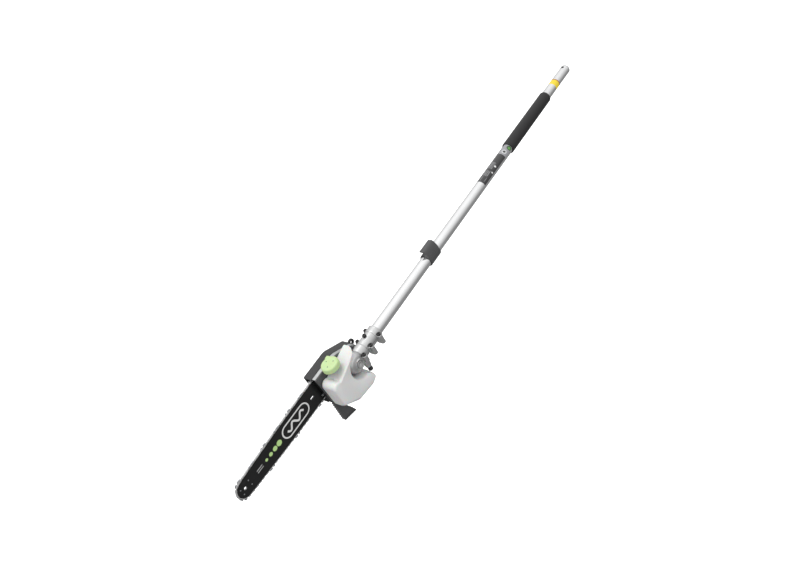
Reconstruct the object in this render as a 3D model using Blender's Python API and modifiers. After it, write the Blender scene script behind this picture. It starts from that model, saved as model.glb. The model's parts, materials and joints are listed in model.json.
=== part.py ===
"""Pole saw: a fixed aluminium pole with a bevel gear head, guide bar, saw chain and oil tank.

Metres. The origin is the centre of the tube's coupler end. +X runs along the pole towards
the bar's nose, +Y is the oil tank's side and +Z is up, with the branch hook below.
"""

import math

import bmesh
import bpy
from mathutils import Matrix, Vector

GAP = 0.0003  # left between pieces that touch

# Pole
TUBE_RADIUS = 0.0127
TUBE_WALL = 0.0015
TUBE_END = 0.988
BUTTON_HOLE_X = 0.011
BUTTON_HOLE_RADIUS = 0.004
GRIP_START, GRIP_END = 0.129, 0.346
GRIP_RADIUS = 0.0157
CLIP_X, CLIP_WIDTH = 0.721, 0.038
CLIP_RING_RADIUS = 0.0157
SHAFT_START = 0.006
SHAFT_RADIUS = 0.004
BUSHING_PLACES = (0.120, 0.360, 0.600, 0.840)
BUSHING_WIDTH = 0.020

# Gear case, split on the plane of both shafts
CASE_START, CASE_STEP, CASE_SEAM = 0.942, 0.958, 0.991
RING_RADIUS, BARREL_RADIUS, NECK_RADIUS = 0.0165, 0.0154, 0.0160
SCREW_Y = 0.0185
# Each screw station: its place along the pole, the Y of its two ends and its boss's underside
STATIONS = (
    (0.952, (-SCREW_Y, SCREW_Y), -0.019),
    (0.981, (-SCREW_Y, SCREW_Y), -0.019),
    (1.006, (0, SCREW_Y), -0.009),
)
BOSS_RADIUS = 0.005
BOSS_TOP = 0.0035
SCREW_RADIUS, SCREW_HEAD_RADIUS, SCREW_HEAD = 0.002, 0.0035, 0.0045
LOCATING_X = 0.971
OUTPUT_X = 1.025
BULB_RADIUS, BULB_OUT, BULB_IN = 0.0225, 0.0205, -0.0165
KNOB_X, KNOB_Y, KNOB_LOW, KNOB_HIGH = 1.004, 0.006, -0.047, -0.039
KNOB_BOSS_LOW, KNOB_BOSS_RADIUS = -0.036, 0.0065

# Bevel gears, whose axes cross at (OUTPUT_X, 0, 0)
MODULE = 0.00175
PINION_TEETH, GEAR_TEETH = 12, 16
CONE_KEPT = 0.657  # the inner end's size over the outer end's

# Head, layer by layer along Y
COVER_OUT, COVER_IN = -0.0505, -0.0263
CHASSIS_OUT, CHASSIS_IN = -0.026, -0.0174
HOOK_OUT, HOOK_IN = -0.0171, -0.0133
TANK_OUT, TANK_IN = -0.013, 0.025
HEAD_FRONT = 1.104
HEAD_HALF = 0.036
WALL = 0.0025
EYE = (0.9880, 0.0100)
CASE_SCREW_CIRCLE = 0.0198
CHASSIS_SCREW_PLACES = [
    (OUTPUT_X + CASE_SCREW_CIRCLE * math.cos(math.radians(angle)), CASE_SCREW_CIRCLE * math.sin(math.radians(angle)))
    for angle in (45, 135, 225, 315)
]
CHASSIS_SCREW_TIP = -0.0105
HOOK_SCREW_PLACES = [(1.094, 0.027), (1.094, -0.029)]

# Bar and chain
BAR_Y, BAR_THICK = -0.033, 0.004
BAR_Z = 0.002
BAR_TAIL, NOSE_X, NOSE_RADIUS = 1.046, 1.327, 0.0182
TAIL_HALF, BAR_HALF = 0.0165, 0.0250
CHAIN_GAP, CHAIN_HEIGHT, CHAIN_THICK = 0.0004, 0.0046, 0.005
CUTTER_PITCH = 0.0381
CHAIN_REAR_RADIUS = 0.0175
CHAIN_LIFT_X = 1.056  # where the chain leaves the bar's edge for the sprocket
SPROCKET_RADIUS, SPROCKET_ROOT, SPROCKET_TEETH = 0.0140, 0.0095, 6
STUD_X, STUD_RADIUS = 1.062, 0.004
TENSION_X, TENSION_Y, TENSION_Z = 1.080, -0.0277, -0.0125
TENSION_RADIUS = 0.0020

# Oil tank
NOTCH_RADIUS = 0.0272
CAP_X, CAP_Y, CAP_LOW, CAP_HIGH, CAP_RADIUS = 1.068, 0.001, 0.0385, 0.0505, 0.0185
NECK_OUT, NECK_BORE = 0.0137, 0.0110
TANK_TOP = 0.0370
TANK_WALL = 0.0022

COLOURS = {
    "tube": ((0.80, 0.81, 0.82), 0.30, 1.0),
    "casting": ((0.66, 0.67, 0.67), 0.45, 1.0),
    "steel": ((0.55, 0.56, 0.58), 0.35, 1.0),
    "black_steel": ((0.03, 0.03, 0.03), 0.40, 0.8),
    "black_plastic": ((0.045, 0.045, 0.047), 0.45, 0.0),
    "grey_plastic": ((0.10, 0.10, 0.11), 0.50, 0.0),
    "foam": ((0.03, 0.03, 0.03), 0.90, 0.0),
    "tank": ((0.86, 0.87, 0.86), 0.35, 0.0),
    "lime": ((0.70, 0.86, 0.45), 0.40, 0.0),
    "bar": ((0.02, 0.02, 0.02), 0.30, 0.2),
    "rubber": ((0.05, 0.05, 0.05), 0.80, 0.0),
    "brass": ((0.72, 0.57, 0.28), 0.35, 1.0),
}

TURN_TO = {
    "X": Matrix.Rotation(math.pi / 2, 4, "Y"),
    "Y": Matrix.Rotation(-math.pi / 2, 4, "X"),
    "Z": Matrix.Identity(4),
}


def clear_scene():
    for obj in list(bpy.data.objects):
        bpy.data.objects.remove(obj, do_unlink=True)


def new_collection(name):
    collection = bpy.data.collections.new(name)
    bpy.context.scene.collection.children.link(collection)
    return collection


def new_material(name):
    colour, roughness, metallic = COLOURS[name]
    material = bpy.data.materials.new(name)
    material.use_nodes = True
    shader = material.node_tree.nodes["Principled BSDF"]
    shader.inputs["Base Color"].default_value = (*colour, 1)
    shader.inputs["Roughness"].default_value = roughness
    shader.inputs["Metallic"].default_value = metallic
    return material


clear_scene()
PARTS = new_collection("pole_saw")
CUTTERS = new_collection("cutters")
MATERIALS = {name: new_material(name) for name in COLOURS}


def add_object(name, mesh, material=None):
    """A part when it has a material, and a hidden cutter or guide when it has none."""
    obj = bpy.data.objects.new(name, mesh)
    if material is None:
        CUTTERS.objects.link(obj)
        obj.hide_render = True
        obj.display_type = "WIRE"
        return obj
    PARTS.objects.link(obj)
    mesh.materials.clear()
    mesh.materials.append(MATERIALS[material])
    return obj


def soften(obj, degrees=35):
    obj.data.shade_smooth()
    obj.data.set_sharp_from_angle(angle=math.radians(degrees))


def cylinder(name, axis, start, end, centre, radius, material=None, sides=24, end_radius=None):
    """A round bar along axis from start to end. centre holds the two other coordinates, in X, Y, Z order."""
    mesh = bpy.data.meshes.new(name)
    shape = bmesh.new()
    bmesh.ops.create_cone(
        shape,
        cap_ends=True,
        segments=sides,
        radius1=radius,
        radius2=radius if end_radius is None else end_radius,
        depth=end - start,
    )
    shape.to_mesh(mesh)
    shape.free()
    obj = add_object(name, mesh, material)
    place = list(centre)
    place.insert("XYZ".index(axis), (start + end) / 2)
    obj.matrix_world = Matrix.Translation(place) @ TURN_TO[axis]
    soften(obj)
    return obj


def block(name, low, high, material=None, bevel=0.0):
    mesh = bpy.data.meshes.new(name)
    shape = bmesh.new()
    bmesh.ops.create_cube(shape, size=1)
    size = Vector(high) - Vector(low)
    bmesh.ops.scale(shape, vec=size, verts=shape.verts)
    shape.to_mesh(mesh)
    shape.free()
    obj = add_object(name, mesh, material)
    obj.location = (Vector(low) + Vector(high)) / 2
    if bevel:
        add_bevel(obj, bevel)
    return obj


def turned(name, axis, origin, profile, material=None, steps=28):
    """profile lists (radius, place along the axis) down the outer side and back up the inner one."""
    mesh = bpy.data.meshes.new(name)
    points = [(radius, 0, along) for radius, along in profile]
    edges = [(i, (i + 1) % len(points)) for i in range(len(points))]
    if profile[0][0] == 0 and profile[-1][0] == 0:
        edges.pop()
    mesh.from_pydata(points, edges, [])
    obj = add_object(name, mesh, material)
    obj.matrix_world = Matrix.Translation(origin) @ TURN_TO[axis]
    screw = obj.modifiers.new("turn", "SCREW")
    screw.steps = steps
    screw.render_steps = steps
    screw.use_merge_vertices = True
    screw.merge_threshold = 0.00001
    screw.use_smooth_shade = False
    return obj


def ring(name, axis, start, end, centre, outer, bore, material=None, steps=28):
    """A plain ring, as a turned shape."""
    origin = list(centre)
    origin.insert("XYZ".index(axis), 0)
    profile = [(outer, end), (outer, start), (bore, start), (bore, end)]
    return turned(name, axis, origin, profile, material, steps)


def arc(centre, radius, start, end, count):
    """Points along an arc, in degrees."""
    angles = [math.radians(start + (end - start) * i / (count - 1)) for i in range(count)]
    return [(centre[0] + radius * math.cos(a), centre[1] + radius * math.sin(a)) for a in angles]


def rounded(corners, steps=4):
    """Replaces each (x, z, radius) corner of a polygon by an arc of that radius."""
    points = []
    for i, (x, z, radius) in enumerate(corners):
        corner = Vector((x, z))
        before = (Vector(corners[i - 1][:2]) - corner).normalized()
        after = (Vector(corners[(i + 1) % len(corners)][:2]) - corner).normalized()
        if radius == 0:
            points.append(tuple(corner))
            continue
        half = before.angle(after) / 2
        centre = corner + (before + after).normalized() * radius / math.sin(half)
        first = corner + before * radius / math.tan(half) - centre
        last = corner + after * radius / math.tan(half) - centre
        turn = first.angle_signed(last)
        for k in range(steps + 1):
            step = Matrix.Rotation(-turn * k / steps, 2) @ first
            points.append(tuple(centre + step))
    return points


def plate(name, plane, outlines, low, high, material=None, bevel=0.0):
    """A flat outline, with any holes, extruded from low to high. plane is XZ (along Y), YZ (along X) or XY."""
    curve = bpy.data.curves.new(name + "_outline", "CURVE")
    curve.dimensions = "2D"
    curve.fill_mode = "BOTH"
    curve.extrude = (high - low) / 2
    for outline in outlines:
        spline = curve.splines.new("POLY")
        spline.points.add(len(outline) - 1)
        for point, (u, v) in zip(spline.points, outline):
            point.co = (u, v, 0, 1)
        spline.use_cyclic_u = True
    guide = bpy.data.objects.new(name + "_outline", curve)
    CUTTERS.objects.link(guide)
    bpy.context.view_layer.update()
    graph = bpy.context.evaluated_depsgraph_get()
    mesh = bpy.data.meshes.new_from_object(guide.evaluated_get(graph))
    bpy.data.objects.remove(guide, do_unlink=True)
    shape = bmesh.new()
    shape.from_mesh(mesh)
    bmesh.ops.remove_doubles(shape, verts=shape.verts, dist=0.000001)
    bmesh.ops.recalc_face_normals(shape, faces=shape.faces)
    shape.to_mesh(mesh)
    shape.free()
    obj = add_object(name, mesh, material)
    middle = (low + high) / 2
    if plane == "XZ":
        obj.matrix_world = Matrix.Translation((0, middle, 0)) @ Matrix.Rotation(math.pi / 2, 4, "X")
    elif plane == "YZ":
        quarter = Matrix.Rotation(math.pi / 2, 4, "Z") @ Matrix.Rotation(math.pi / 2, 4, "X")
        obj.matrix_world = Matrix.Translation((middle, 0, 0)) @ quarter
    else:
        obj.matrix_world = Matrix.Translation((0, 0, middle))
    if bevel:
        add_bevel(obj, bevel)
    return obj


def add_bevel(obj, width, segments=1, degrees=40):
    bevel = obj.modifiers.new("edges", "BEVEL")
    bevel.width = width
    bevel.segments = segments
    bevel.limit_method = "ANGLE"
    bevel.angle_limit = math.radians(degrees)


def cut(obj, *cutters):
    boolean(obj, "DIFFERENCE", cutters)


def join(obj, *others):
    boolean(obj, "UNION", others)


def boolean(obj, operation, others):
    """One modifier for each shape. The gear case's many close cuts need the MANIFOLD solver."""
    for other in others:
        modifier = obj.modifiers.new(operation.lower(), "BOOLEAN")
        modifier.operation = operation
        modifier.solver = "MANIFOLD" if obj.name.startswith(("gear_case", "chassis", "oil_tank")) else "EXACT"
        modifier.object = other


# --- Pole -------------------------------------------------------------------------------------


def make_pole():
    tube = ring("pole_tube", "X", 0, TUBE_END, (0, 0), TUBE_RADIUS, TUBE_RADIUS - TUBE_WALL, "tube", 32)
    hole = cylinder("button_hole", "Z", 0, 0.02, (BUTTON_HOLE_X, 0), BUTTON_HOLE_RADIUS)
    locating_hole = cylinder("locating_hole", "Z", 0, 0.02, (LOCATING_X, 0), SCREW_RADIUS + 2 * GAP)
    cut(tube, hole, locating_hole)
    make_grip()
    make_clip()


def make_grip():
    """Foam sleeve with a rounded shoulder at each end."""
    bore = TUBE_RADIUS + GAP
    shoulder = 0.002
    profile = [
        (GRIP_RADIUS - shoulder, GRIP_END),
        (GRIP_RADIUS, GRIP_END - shoulder),
        (GRIP_RADIUS, GRIP_START + shoulder),
        (GRIP_RADIUS - shoulder, GRIP_START),
        (bore, GRIP_START),
        (bore, GRIP_END),
    ]
    turned("foam_grip", "X", (0, 0, 0), profile, "foam")


def make_clip():
    """Snap ring on the tube, drawn up on top into a hook whose channel opens towards -Y."""
    channel = (-0.001, 0.0195)
    outline = (
        arc((0, 0), CLIP_RING_RADIUS, 152, 388, 20)
        + [(0.0115, 0.0140), (0.0070, 0.0262), (0.0040, 0.0278), (-0.0050, 0.0278), (-0.0075, 0.0262)]
        + arc(channel, 0.0044, 118, -118, 9)
        + [(-0.0080, 0.0150)]
    )
    bore = arc((0, 0), TUBE_RADIUS + GAP, 0, 348.75, 32)
    low, high = CLIP_X - CLIP_WIDTH / 2, CLIP_X + CLIP_WIDTH / 2
    plate("pole_clip", "YZ", [outline, bore], low, high, "grey_plastic")


def make_drive_line():
    tube_bore = TUBE_RADIUS - TUBE_WALL
    shaft = cylinder("drive_shaft", "X", SHAFT_START, 1.0005, (0, 0), SHAFT_RADIUS, "steel", 24)
    flat = 0.0028  # half across the square that the power head's socket drives
    for sign in (-1, 1):
        for axis in (1, 2):
            low, high = [SHAFT_START - 0.001, -0.006, -0.006], [SHAFT_START + 0.024, 0.006, 0.006]
            low[axis], high[axis] = sorted((sign * flat, sign * 0.006))
            cut(shaft, block(f"square_{axis}_{sign}", low, high))
    for number, place in enumerate(BUSHING_PLACES, 1):
        start, end = place - BUSHING_WIDTH / 2, place + BUSHING_WIDTH / 2
        outer, bore = tube_bore - GAP, SHAFT_RADIUS + GAP
        ring(f"shaft_bushing_{number}", "X", start, end, (0, 0), outer, bore, "rubber", 20)


# --- Gear case --------------------------------------------------------------------------------


def case_body(name, material):
    """The whole casting, solid outside and hollow inside, before it is split."""
    profile = [
        (0, 1.020),
        (NECK_RADIUS, 1.020),
        (NECK_RADIUS, CASE_SEAM + 0.004),
        (BARREL_RADIUS, CASE_SEAM),
        (BARREL_RADIUS, CASE_STEP),
        (RING_RADIUS, CASE_STEP),
        (RING_RADIUS, CASE_START),
        (0, CASE_START),
    ]
    body = turned(name, "X", (0, 0, 0), profile, material)
    shoulder = 0.007
    bulb = [
        (0, BULB_OUT),
        (BULB_RADIUS - shoulder, BULB_OUT),
        (BULB_RADIUS - 0.002, BULB_OUT - 0.002),
        (BULB_RADIUS, BULB_OUT - shoulder),
        (BULB_RADIUS, BULB_IN),
        (0, BULB_IN),
    ]
    join(body, turned(name + "_bulb", "Y", (OUTPUT_X, 0, 0), bulb, steps=36))
    for place, (side_low, side_high), bottom in STATIONS:
        outline = arc((place, side_high), BOSS_RADIUS, 0, 180, 9) + arc((place, side_low), BOSS_RADIUS, 180, 360, 9)
        join(body, plate(f"{name}_lug_{place:.3f}", "XY", [outline], bottom, BOSS_TOP))
    join(body, cylinder(name + "_knob_boss", "Z", KNOB_BOSS_LOW, -0.008, (KNOB_X, KNOB_Y), KNOB_BOSS_RADIUS))
    cut(body, *case_hollows(name))
    return body


def case_hollows(name):
    tube_room = TUBE_RADIUS + GAP
    bearing_room = 0.0113
    yield cylinder(name + "_socket", "X", CASE_START - 0.01, TUBE_END + GAP, (0, 0), tube_room, sides=32)
    yield cylinder(name + "_lip", "X", TUBE_END - 0.001, 1.0, (0, 0), 0.0090)
    yield cylinder(name + "_seat", "X", 0.9905, 1.0020, (0, 0), bearing_room)
    yield cylinder(name + "_pinion_room", "X", 1.0010, 1.0200, (0, 0), 0.0129)
    yield cylinder(name + "_gear_room", "Y", BULB_IN - 0.01, 0.0080, (OUTPUT_X, 0), 0.0170, sides=32)
    yield cylinder(name + "_end_seat", "Y", 0.0070, 0.0165, (OUTPUT_X, 0), 0.0083)
    for place, sides, _ in STATIONS:
        for side in filter(None, sides):
            yield cylinder(f"{name}_hole", "Z", -0.03, 0.01, (place, side), SCREW_RADIUS + GAP, sides=12)
    yield from side_holes(name + "_hole", CHASSIS_SCREW_PLACES, -0.030, CHASSIS_SCREW_TIP + GAP)


def spot_faces():
    """Room for the screw heads, sunk a little into the lugs."""
    for place, sides, _ in STATIONS:
        for side in filter(None, sides):
            yield cylinder("spot_face", "Z", BOSS_TOP - GAP, 0.02, (place, side), SCREW_HEAD_RADIUS + GAP, sides=16)


def make_gear_case():
    low, high = (0.90, -0.06, -0.06), (1.10, 0.06, 0.06)
    half_gap = GAP / 2
    lower = case_body("gear_case_lower", "casting")
    cut(
        lower,
        cylinder("stem_hole", "Z", -0.050, -0.0185, (KNOB_X, KNOB_Y), 0.0022 + GAP, sides=12),
        block("above_split", (low[0], low[1], -half_gap), high),
    )
    upper = case_body("gear_case_upper", "casting")
    cut(
        upper,
        *spot_faces(),
        cylinder("locating_bore", "Z", 0.010, 0.020, (LOCATING_X, 0), SCREW_RADIUS + GAP, sides=12),
        block("below_split", low, (high[0], high[1], half_gap)),
    )


def socket_screw(name, head_base, centre, length, material="black_steel"):
    """Socket head cap screw, head up: the shank runs down from head_base."""
    top = head_base + SCREW_HEAD
    profile = [
        (0, top - 0.0022),
        (0.0016, top - 0.0022),
        (0.0018, top),
        (SCREW_HEAD_RADIUS - 0.0004, top),
        (SCREW_HEAD_RADIUS, top - 0.0004),
        (SCREW_HEAD_RADIUS, head_base),
        (SCREW_RADIUS, head_base),
        (SCREW_RADIUS, head_base - length),
        (0, head_base - length),
    ]
    return turned(name, "Z", (*centre, 0), profile, material, steps=12)


def make_screws():
    seats = [(place, side, bottom) for place, sides, bottom in STATIONS for side in filter(None, sides)]
    for number, (place, side, bottom) in enumerate(seats, 1):
        length = BOSS_TOP - bottom - 0.002
        socket_screw(f"case_screw_{number}", BOSS_TOP + GAP, (place, side), length)
    socket_screw("locating_screw", BARREL_RADIUS + GAP, (LOCATING_X, 0), 0.005)


def make_knob():
    """Locking knob: a plain stem screwed into the case, with a moulded head."""
    profile = [
        (0, -0.0200),
        (0.0022, -0.0200),
        (0.0022, KNOB_HIGH),
        (0.0042, KNOB_HIGH),
        (0.0050, KNOB_HIGH - 0.001),
        (0.0050, KNOB_LOW + 0.0015),
        (0.0038, KNOB_LOW),
        (0, KNOB_LOW),
    ]
    turned("locking_knob", "Z", (KNOB_X, KNOB_Y, 0), profile, "black_plastic", steps=20)


def toothed_outline(teeth, tip, root, shares, turn):
    """One outline with straight-sided teeth. shares are the half widths at tip and root, over the pitch angle."""
    points = []
    pitch = 2 * math.pi / teeth
    for k in range(teeth):
        middle = turn + k * pitch
        for radius, share in ((root, -shares[1]), (tip, -shares[0]), (tip, shares[0]), (root, shares[1])):
            angle = middle + share * pitch
            points.append((radius * math.cos(angle), radius * math.sin(angle)))
    return points


def bevel_gear(name, axis, teeth, mate_teeth, tip, root, turn, hub_radius, hub_length, bore, material):
    """A toothed outline drawn together towards the point where both axes cross, with a hub behind it."""
    reach = MODULE * mate_teeth / 2
    outline = toothed_outline(teeth, tip, root, (0.11, 0.28), turn)
    mesh = bpy.data.meshes.new(name)
    shape = bmesh.new()
    face = shape.faces.new([shape.verts.new((x, y, -reach)) for x, y in outline])
    grown = bmesh.ops.extrude_face_region(shape, geom=[face])
    front = [item for item in grown["geom"] if isinstance(item, bmesh.types.BMVert)]
    bmesh.ops.scale(shape, vec=(CONE_KEPT, CONE_KEPT, CONE_KEPT), verts=front)
    bmesh.ops.recalc_face_normals(shape, faces=shape.faces)
    shape.to_mesh(mesh)
    shape.free()
    gear = add_object(name, mesh, material)
    gear.matrix_world = Matrix.Translation((OUTPUT_X, 0, 0)) @ TURN_TO[axis]
    back = {"X": OUTPUT_X - reach, "Y": -reach}[axis]
    centre = {"X": (0, 0), "Y": (OUTPUT_X, 0)}[axis]
    join(gear, cylinder(name + "_hub", axis, back - hub_length, back + 0.002, centre, hub_radius))
    if bore:
        cut(gear, cylinder(name + "_bore", axis, back - 0.02, back + 0.02, centre, bore))
    return gear


def make_gears():
    half_tooth = math.pi / GEAR_TEETH
    # The pinion's tooth points down the gear's gap on the side where they meet.
    bevel_gear("bevel_pinion", "X", PINION_TEETH, GEAR_TEETH, 0.0120, 0.0090, math.pi / 2, 0.0062, 0.0090, SHAFT_RADIUS + GAP, "steel")
    bevel_gear("bevel_gear", "Y", GEAR_TEETH, PINION_TEETH, 0.0150, 0.0116, half_tooth, 0.0085, 0.0030, 0.0045 + GAP, "steel")


def make_output():
    profile = [
        (0, 0.0155),
        (0.0045, 0.0155),
        (0.0045, -0.0410),
        (0, -0.0410),
    ]
    turned("output_shaft", "Y", (OUTPUT_X, 0, 0), profile, "steel", steps=20)
    room = 0.0045 + GAP
    ring("output_bearing_end", "Y", 0.0083, 0.0160, (OUTPUT_X, 0), 0.0080, room, "steel", 20)
    ring("output_bearing_chassis", "Y", -0.0256, -0.0186, (OUTPUT_X, 0), 0.0080, room, "steel", 20)
    ring("input_bearing", "X", 0.9908, 0.9998, (0, 0), 0.0110, 0.0065, "steel", 20)
    make_sprocket("drive_sprocket", OUTPUT_X, 0, SPROCKET_TEETH, SPROCKET_RADIUS, SPROCKET_ROOT, room, -0.0365, -0.0295)
    ring("sprocket_clip", "Y", -0.0395, -0.0385, (OUTPUT_X, 0), 0.0085, room, "black_steel", 20)


def make_sprocket(name, x, z, teeth, tip, root, bore, low, high):
    outline = [(x + u, z + v) for u, v in toothed_outline(teeth, tip, root, (0.13, 0.28), 0)]
    hole = arc((x, z), bore, 0, 342, 20)
    return plate(name, "XZ", [outline, hole], low, high, "steel")


# --- Head -------------------------------------------------------------------------------------


def head_outline(inset=0.0, front=HEAD_FRONT):
    """Outline that the cover and chassis share: square at the front, drawn in to a blunt rear end."""
    half = HEAD_HALF - inset
    return rounded(
        [
            (front, half, 0),
            (1.040 + inset / 3, half, 0.031),
            (0.989 + inset, 0.0115, 0.010),
            (0.989 + inset, -0.0115, 0.010),
            (1.040 + inset / 3, -half, 0.031),
            (front, -half, 0),
        ]
    )


def make_chassis():
    chassis = plate("chassis_plate", "XZ", [head_outline(0.0006)], CHASSIS_OUT, CHASSIS_IN, "casting")
    join(chassis, block("bar_pad", (1.050, -0.0307, -0.0055), (1.100, -0.0250, 0.0160)))
    cut(
        chassis,
        cylinder("output_passage", "Y", -0.0180, -0.0150, (OUTPUT_X, 0), 0.0170),
        cylinder("output_seat", "Y", -0.0300, -0.0160, (OUTPUT_X, 0), 0.0083),
        cylinder("stud_hole", "Y", -0.0320, -0.0205, (STUD_X, BAR_Z), STUD_RADIUS + GAP),
        cylinder("tension_groove", "X", 1.068, 1.110, (TENSION_Y, TENSION_Z), TENSION_RADIUS + 0.0005),
        block("tension_pocket", (1.0705, -0.0320, -0.0180), (1.0935, -0.0243, -0.0070)),
        block("pump_pocket", (1.0490, -0.0235, -0.0370), (1.0610, -0.0150, -0.0090)),
    )
    cut(chassis, *side_holes("chassis_hole", CHASSIS_SCREW_PLACES + HOOK_SCREW_PLACES, -0.030))


def side_screw(name, x, z, head_base, tip):
    """Pan head screw along Y, its head at the lower Y."""
    profile = [
        (0, tip),
        (SCREW_RADIUS, tip),
        (SCREW_RADIUS, head_base),
        (SCREW_HEAD_RADIUS, head_base),
        (SCREW_HEAD_RADIUS - 0.0006, head_base - 0.0022),
        (0, head_base - 0.0022),
    ]
    return turned(name, "Y", (x, 0, z), profile, "steel", steps=12)


def side_holes(name, places, low, high=-0.010):
    """Cutters for screws along Y."""
    return [cylinder(name, "Y", low, high, place, SCREW_RADIUS + GAP, sides=12) for place in places]


def make_chassis_screws():
    for number, place in enumerate(CHASSIS_SCREW_PLACES, 1):
        side_screw(f"chassis_screw_{number}", *place, CHASSIS_OUT - GAP, CHASSIS_SCREW_TIP)
    for number, place in enumerate(HOOK_SCREW_PLACES, 1):
        side_screw(f"hook_screw_{number}", *place, CHASSIS_OUT - GAP, HOOK_IN - 2 * GAP)


def hook_spikes():
    """The front edge from the head down to the hook's toe, with pointed spikes along it."""
    first, last, count = -0.0385, -0.0840, 9
    points = []
    for k in range(count):
        z = first + (last - first) * k / (count - 1)
        x = 1.1062 + 0.0022 * k / (count - 1)
        points += [(x - 0.0032, z + 0.0024), (x, z)]
    return points


def make_hook_plate():
    """Flat plate behind the tank, drawn out below into the spiked hook."""
    outline = rounded(
        [
            (1.1055, 0.0365, 0.003),
            (1.044, 0.0365, 0.034),
            (0.9985, 0.0170, 0.006),
            (0.9985, -0.0200, 0.006),
            (1.0200, -0.0380, 0.012),
            (1.0450, -0.0500, 0.020),
            (1.0860, -0.0640, 0.006),
            (1.0780, -0.0830, 0.020),
            (1.0730, -0.0990, 0.0012),
            (1.1070, -0.0905, 0.0025),
            *[(x, z, 0) for x, z in reversed(hook_spikes())],
        ]
    )
    hook = plate("branch_hook", "XZ", [outline], HOOK_OUT, HOOK_IN, "grey_plastic")
    neck_half = 0.0107  # where the plate's near face would meet the neck
    cut(
        hook,
        cylinder("case_room", "Y", -0.03, 0.0, (OUTPUT_X, 0), BULB_RADIUS + GAP, sides=36),
        block("neck_room", (0.990, -0.0300, -neck_half), (OUTPUT_X, 0.0, neck_half)),
    )
    cut(hook, *side_holes("hook_hole", HOOK_SCREW_PLACES, -0.030))


def make_cover():
    """Shell open towards the bar and at the front, with a hanging eye at its rear."""
    cover = plate("sprocket_cover", "XZ", [head_outline(0, HEAD_FRONT + 0.002)], COVER_OUT, COVER_IN, "black_plastic", bevel=0.002)
    hollow = plate("cover_hollow", "XZ", [head_outline(WALL, HEAD_FRONT + 0.02)], COVER_OUT + WALL, COVER_IN + 0.01)
    cut(cover, hollow)
    bar_side = BAR_Y - BAR_THICK / 2 - 0.0005
    join(
        cover,
        block("bar_press", (1.050, COVER_OUT + 0.0005, -0.0080), (1.098, bar_side, 0.0140)),
        cylinder("eye_lug", "Y", COVER_IN - 0.0045, COVER_IN, EYE, 0.0066, sides=20),
    )
    cut(
        cover,
        cylinder("eye_hole", "Y", -0.04, -0.02, EYE, 0.0031, sides=16),
        cylinder("nut_hole", "Y", -0.06, -0.02, (STUD_X, BAR_Z), STUD_RADIUS + 0.0008),
    )
    return cover


def make_stud_and_nut():
    cylinder("bar_stud", "Y", -0.0575, -0.0212, (STUD_X, BAR_Z), STUD_RADIUS, "steel", 20)
    nut = cylinder("cover_nut", "Y", -0.0590, COVER_OUT - GAP, (STUD_X, BAR_Z), 0.0075, "steel", 6)
    flange = cylinder("nut_flange", "Y", -0.0525, COVER_OUT - GAP, (STUD_X, BAR_Z), 0.0092, sides=20)
    join(nut, flange)
    cut(nut, cylinder("nut_bore", "Y", -0.07, -0.04, (STUD_X, BAR_Z), STUD_RADIUS + GAP, sides=20))


def bar_half(x):
    """Half width of the bar: a quick swell out of the tail, then a long even taper to the nose."""
    if x < 1.110:
        share = (x - BAR_TAIL) / (1.110 - BAR_TAIL)
        return TAIL_HALF + (BAR_HALF - TAIL_HALF) * math.sin(share * math.pi / 2)
    share = (x - 1.110) / (NOSE_X - 1.110)
    return BAR_HALF + (NOSE_RADIUS - BAR_HALF) * (1 - math.cos(share * math.pi / 2))


def bar_outline(out=0.0, tail=BAR_TAIL, count=12):
    """The bar's edge grown by out, from the tail along the top, round the nose and back."""
    places = [tail + (NOSE_X - tail) * i / count for i in range(count + 1)]
    top = [(x, BAR_Z + bar_half(x) + out) for x in places]
    nose = arc((NOSE_X, BAR_Z), NOSE_RADIUS + out, 90, -90, 17)
    return top[:-1] + nose + [(x, 2 * BAR_Z - z) for x, z in reversed(top[:-1])]


def slot(x0, x1, z, half, count=7):
    """A round-ended slot from x0 to x1, as an outline."""
    return arc((x0 + half, z), half, 90, 270, count) + arc((x1 - half, z), half, 270, 450, count)


def make_bar():
    holes = [
        slot(1.0530, 1.0840, BAR_Z, STUD_RADIUS + 0.0005),
        slot(1.1185, 1.1295, BAR_Z, 0.0025),
        arc((TENSION_X, TENSION_Z), 0.0024, 0, 330, 12),
        arc((1.271, BAR_Z), 0.0018, 0, 324, 10),
        arc((NOSE_X, BAR_Z), 0.0033, 0, 337.5, 16),
    ]
    low, high = BAR_Y - BAR_THICK / 2, BAR_Y + BAR_THICK / 2
    bar = plate("guide_bar", "XZ", [bar_outline(), *holes], low, high, "bar")
    nose_room = cylinder("nose_room", "Y", BAR_Y - 0.0009, BAR_Y + 0.0009, (NOSE_X, BAR_Z), NOSE_RADIUS + 0.0015, sides=32)
    spare = block("nose_room_rear", (NOSE_X - 0.0300, BAR_Y - 0.01, -0.04), (NOSE_X - 0.0100, BAR_Y + 0.01, 0.04))
    cut(nose_room, spare)
    cut(bar, nose_room)
    make_nose_sprocket()
    return bar


def make_nose_sprocket():
    """Thin toothed disc between the cheeks of the nose, turning on a ring-shaped hub."""
    low, high = BAR_Y - 0.0005, BAR_Y + 0.0005
    outline = [(NOSE_X + u, BAR_Z + v) for u, v in toothed_outline(9, 0.0095, 0.0082, (0.12, 0.30), 0)]
    plate("nose_sprocket", "XZ", [outline, arc((NOSE_X, BAR_Z), 0.0060, 0, 342, 20)], low, high, "steel")
    ring("nose_hub", "Y", low, high, (NOSE_X, BAR_Z), 0.0057, 0.0034, "steel", 20)


def chain_loop(out):
    """The chain's path grown by out: round the drive sprocket, along the bar and round its nose."""
    edge = bar_outline(CHAIN_GAP + out, tail=CHAIN_LIFT_X, count=11)
    return edge + arc((OUTPUT_X, BAR_Z), CHAIN_REAR_RADIUS + out, 270, 90, 13)


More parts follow.
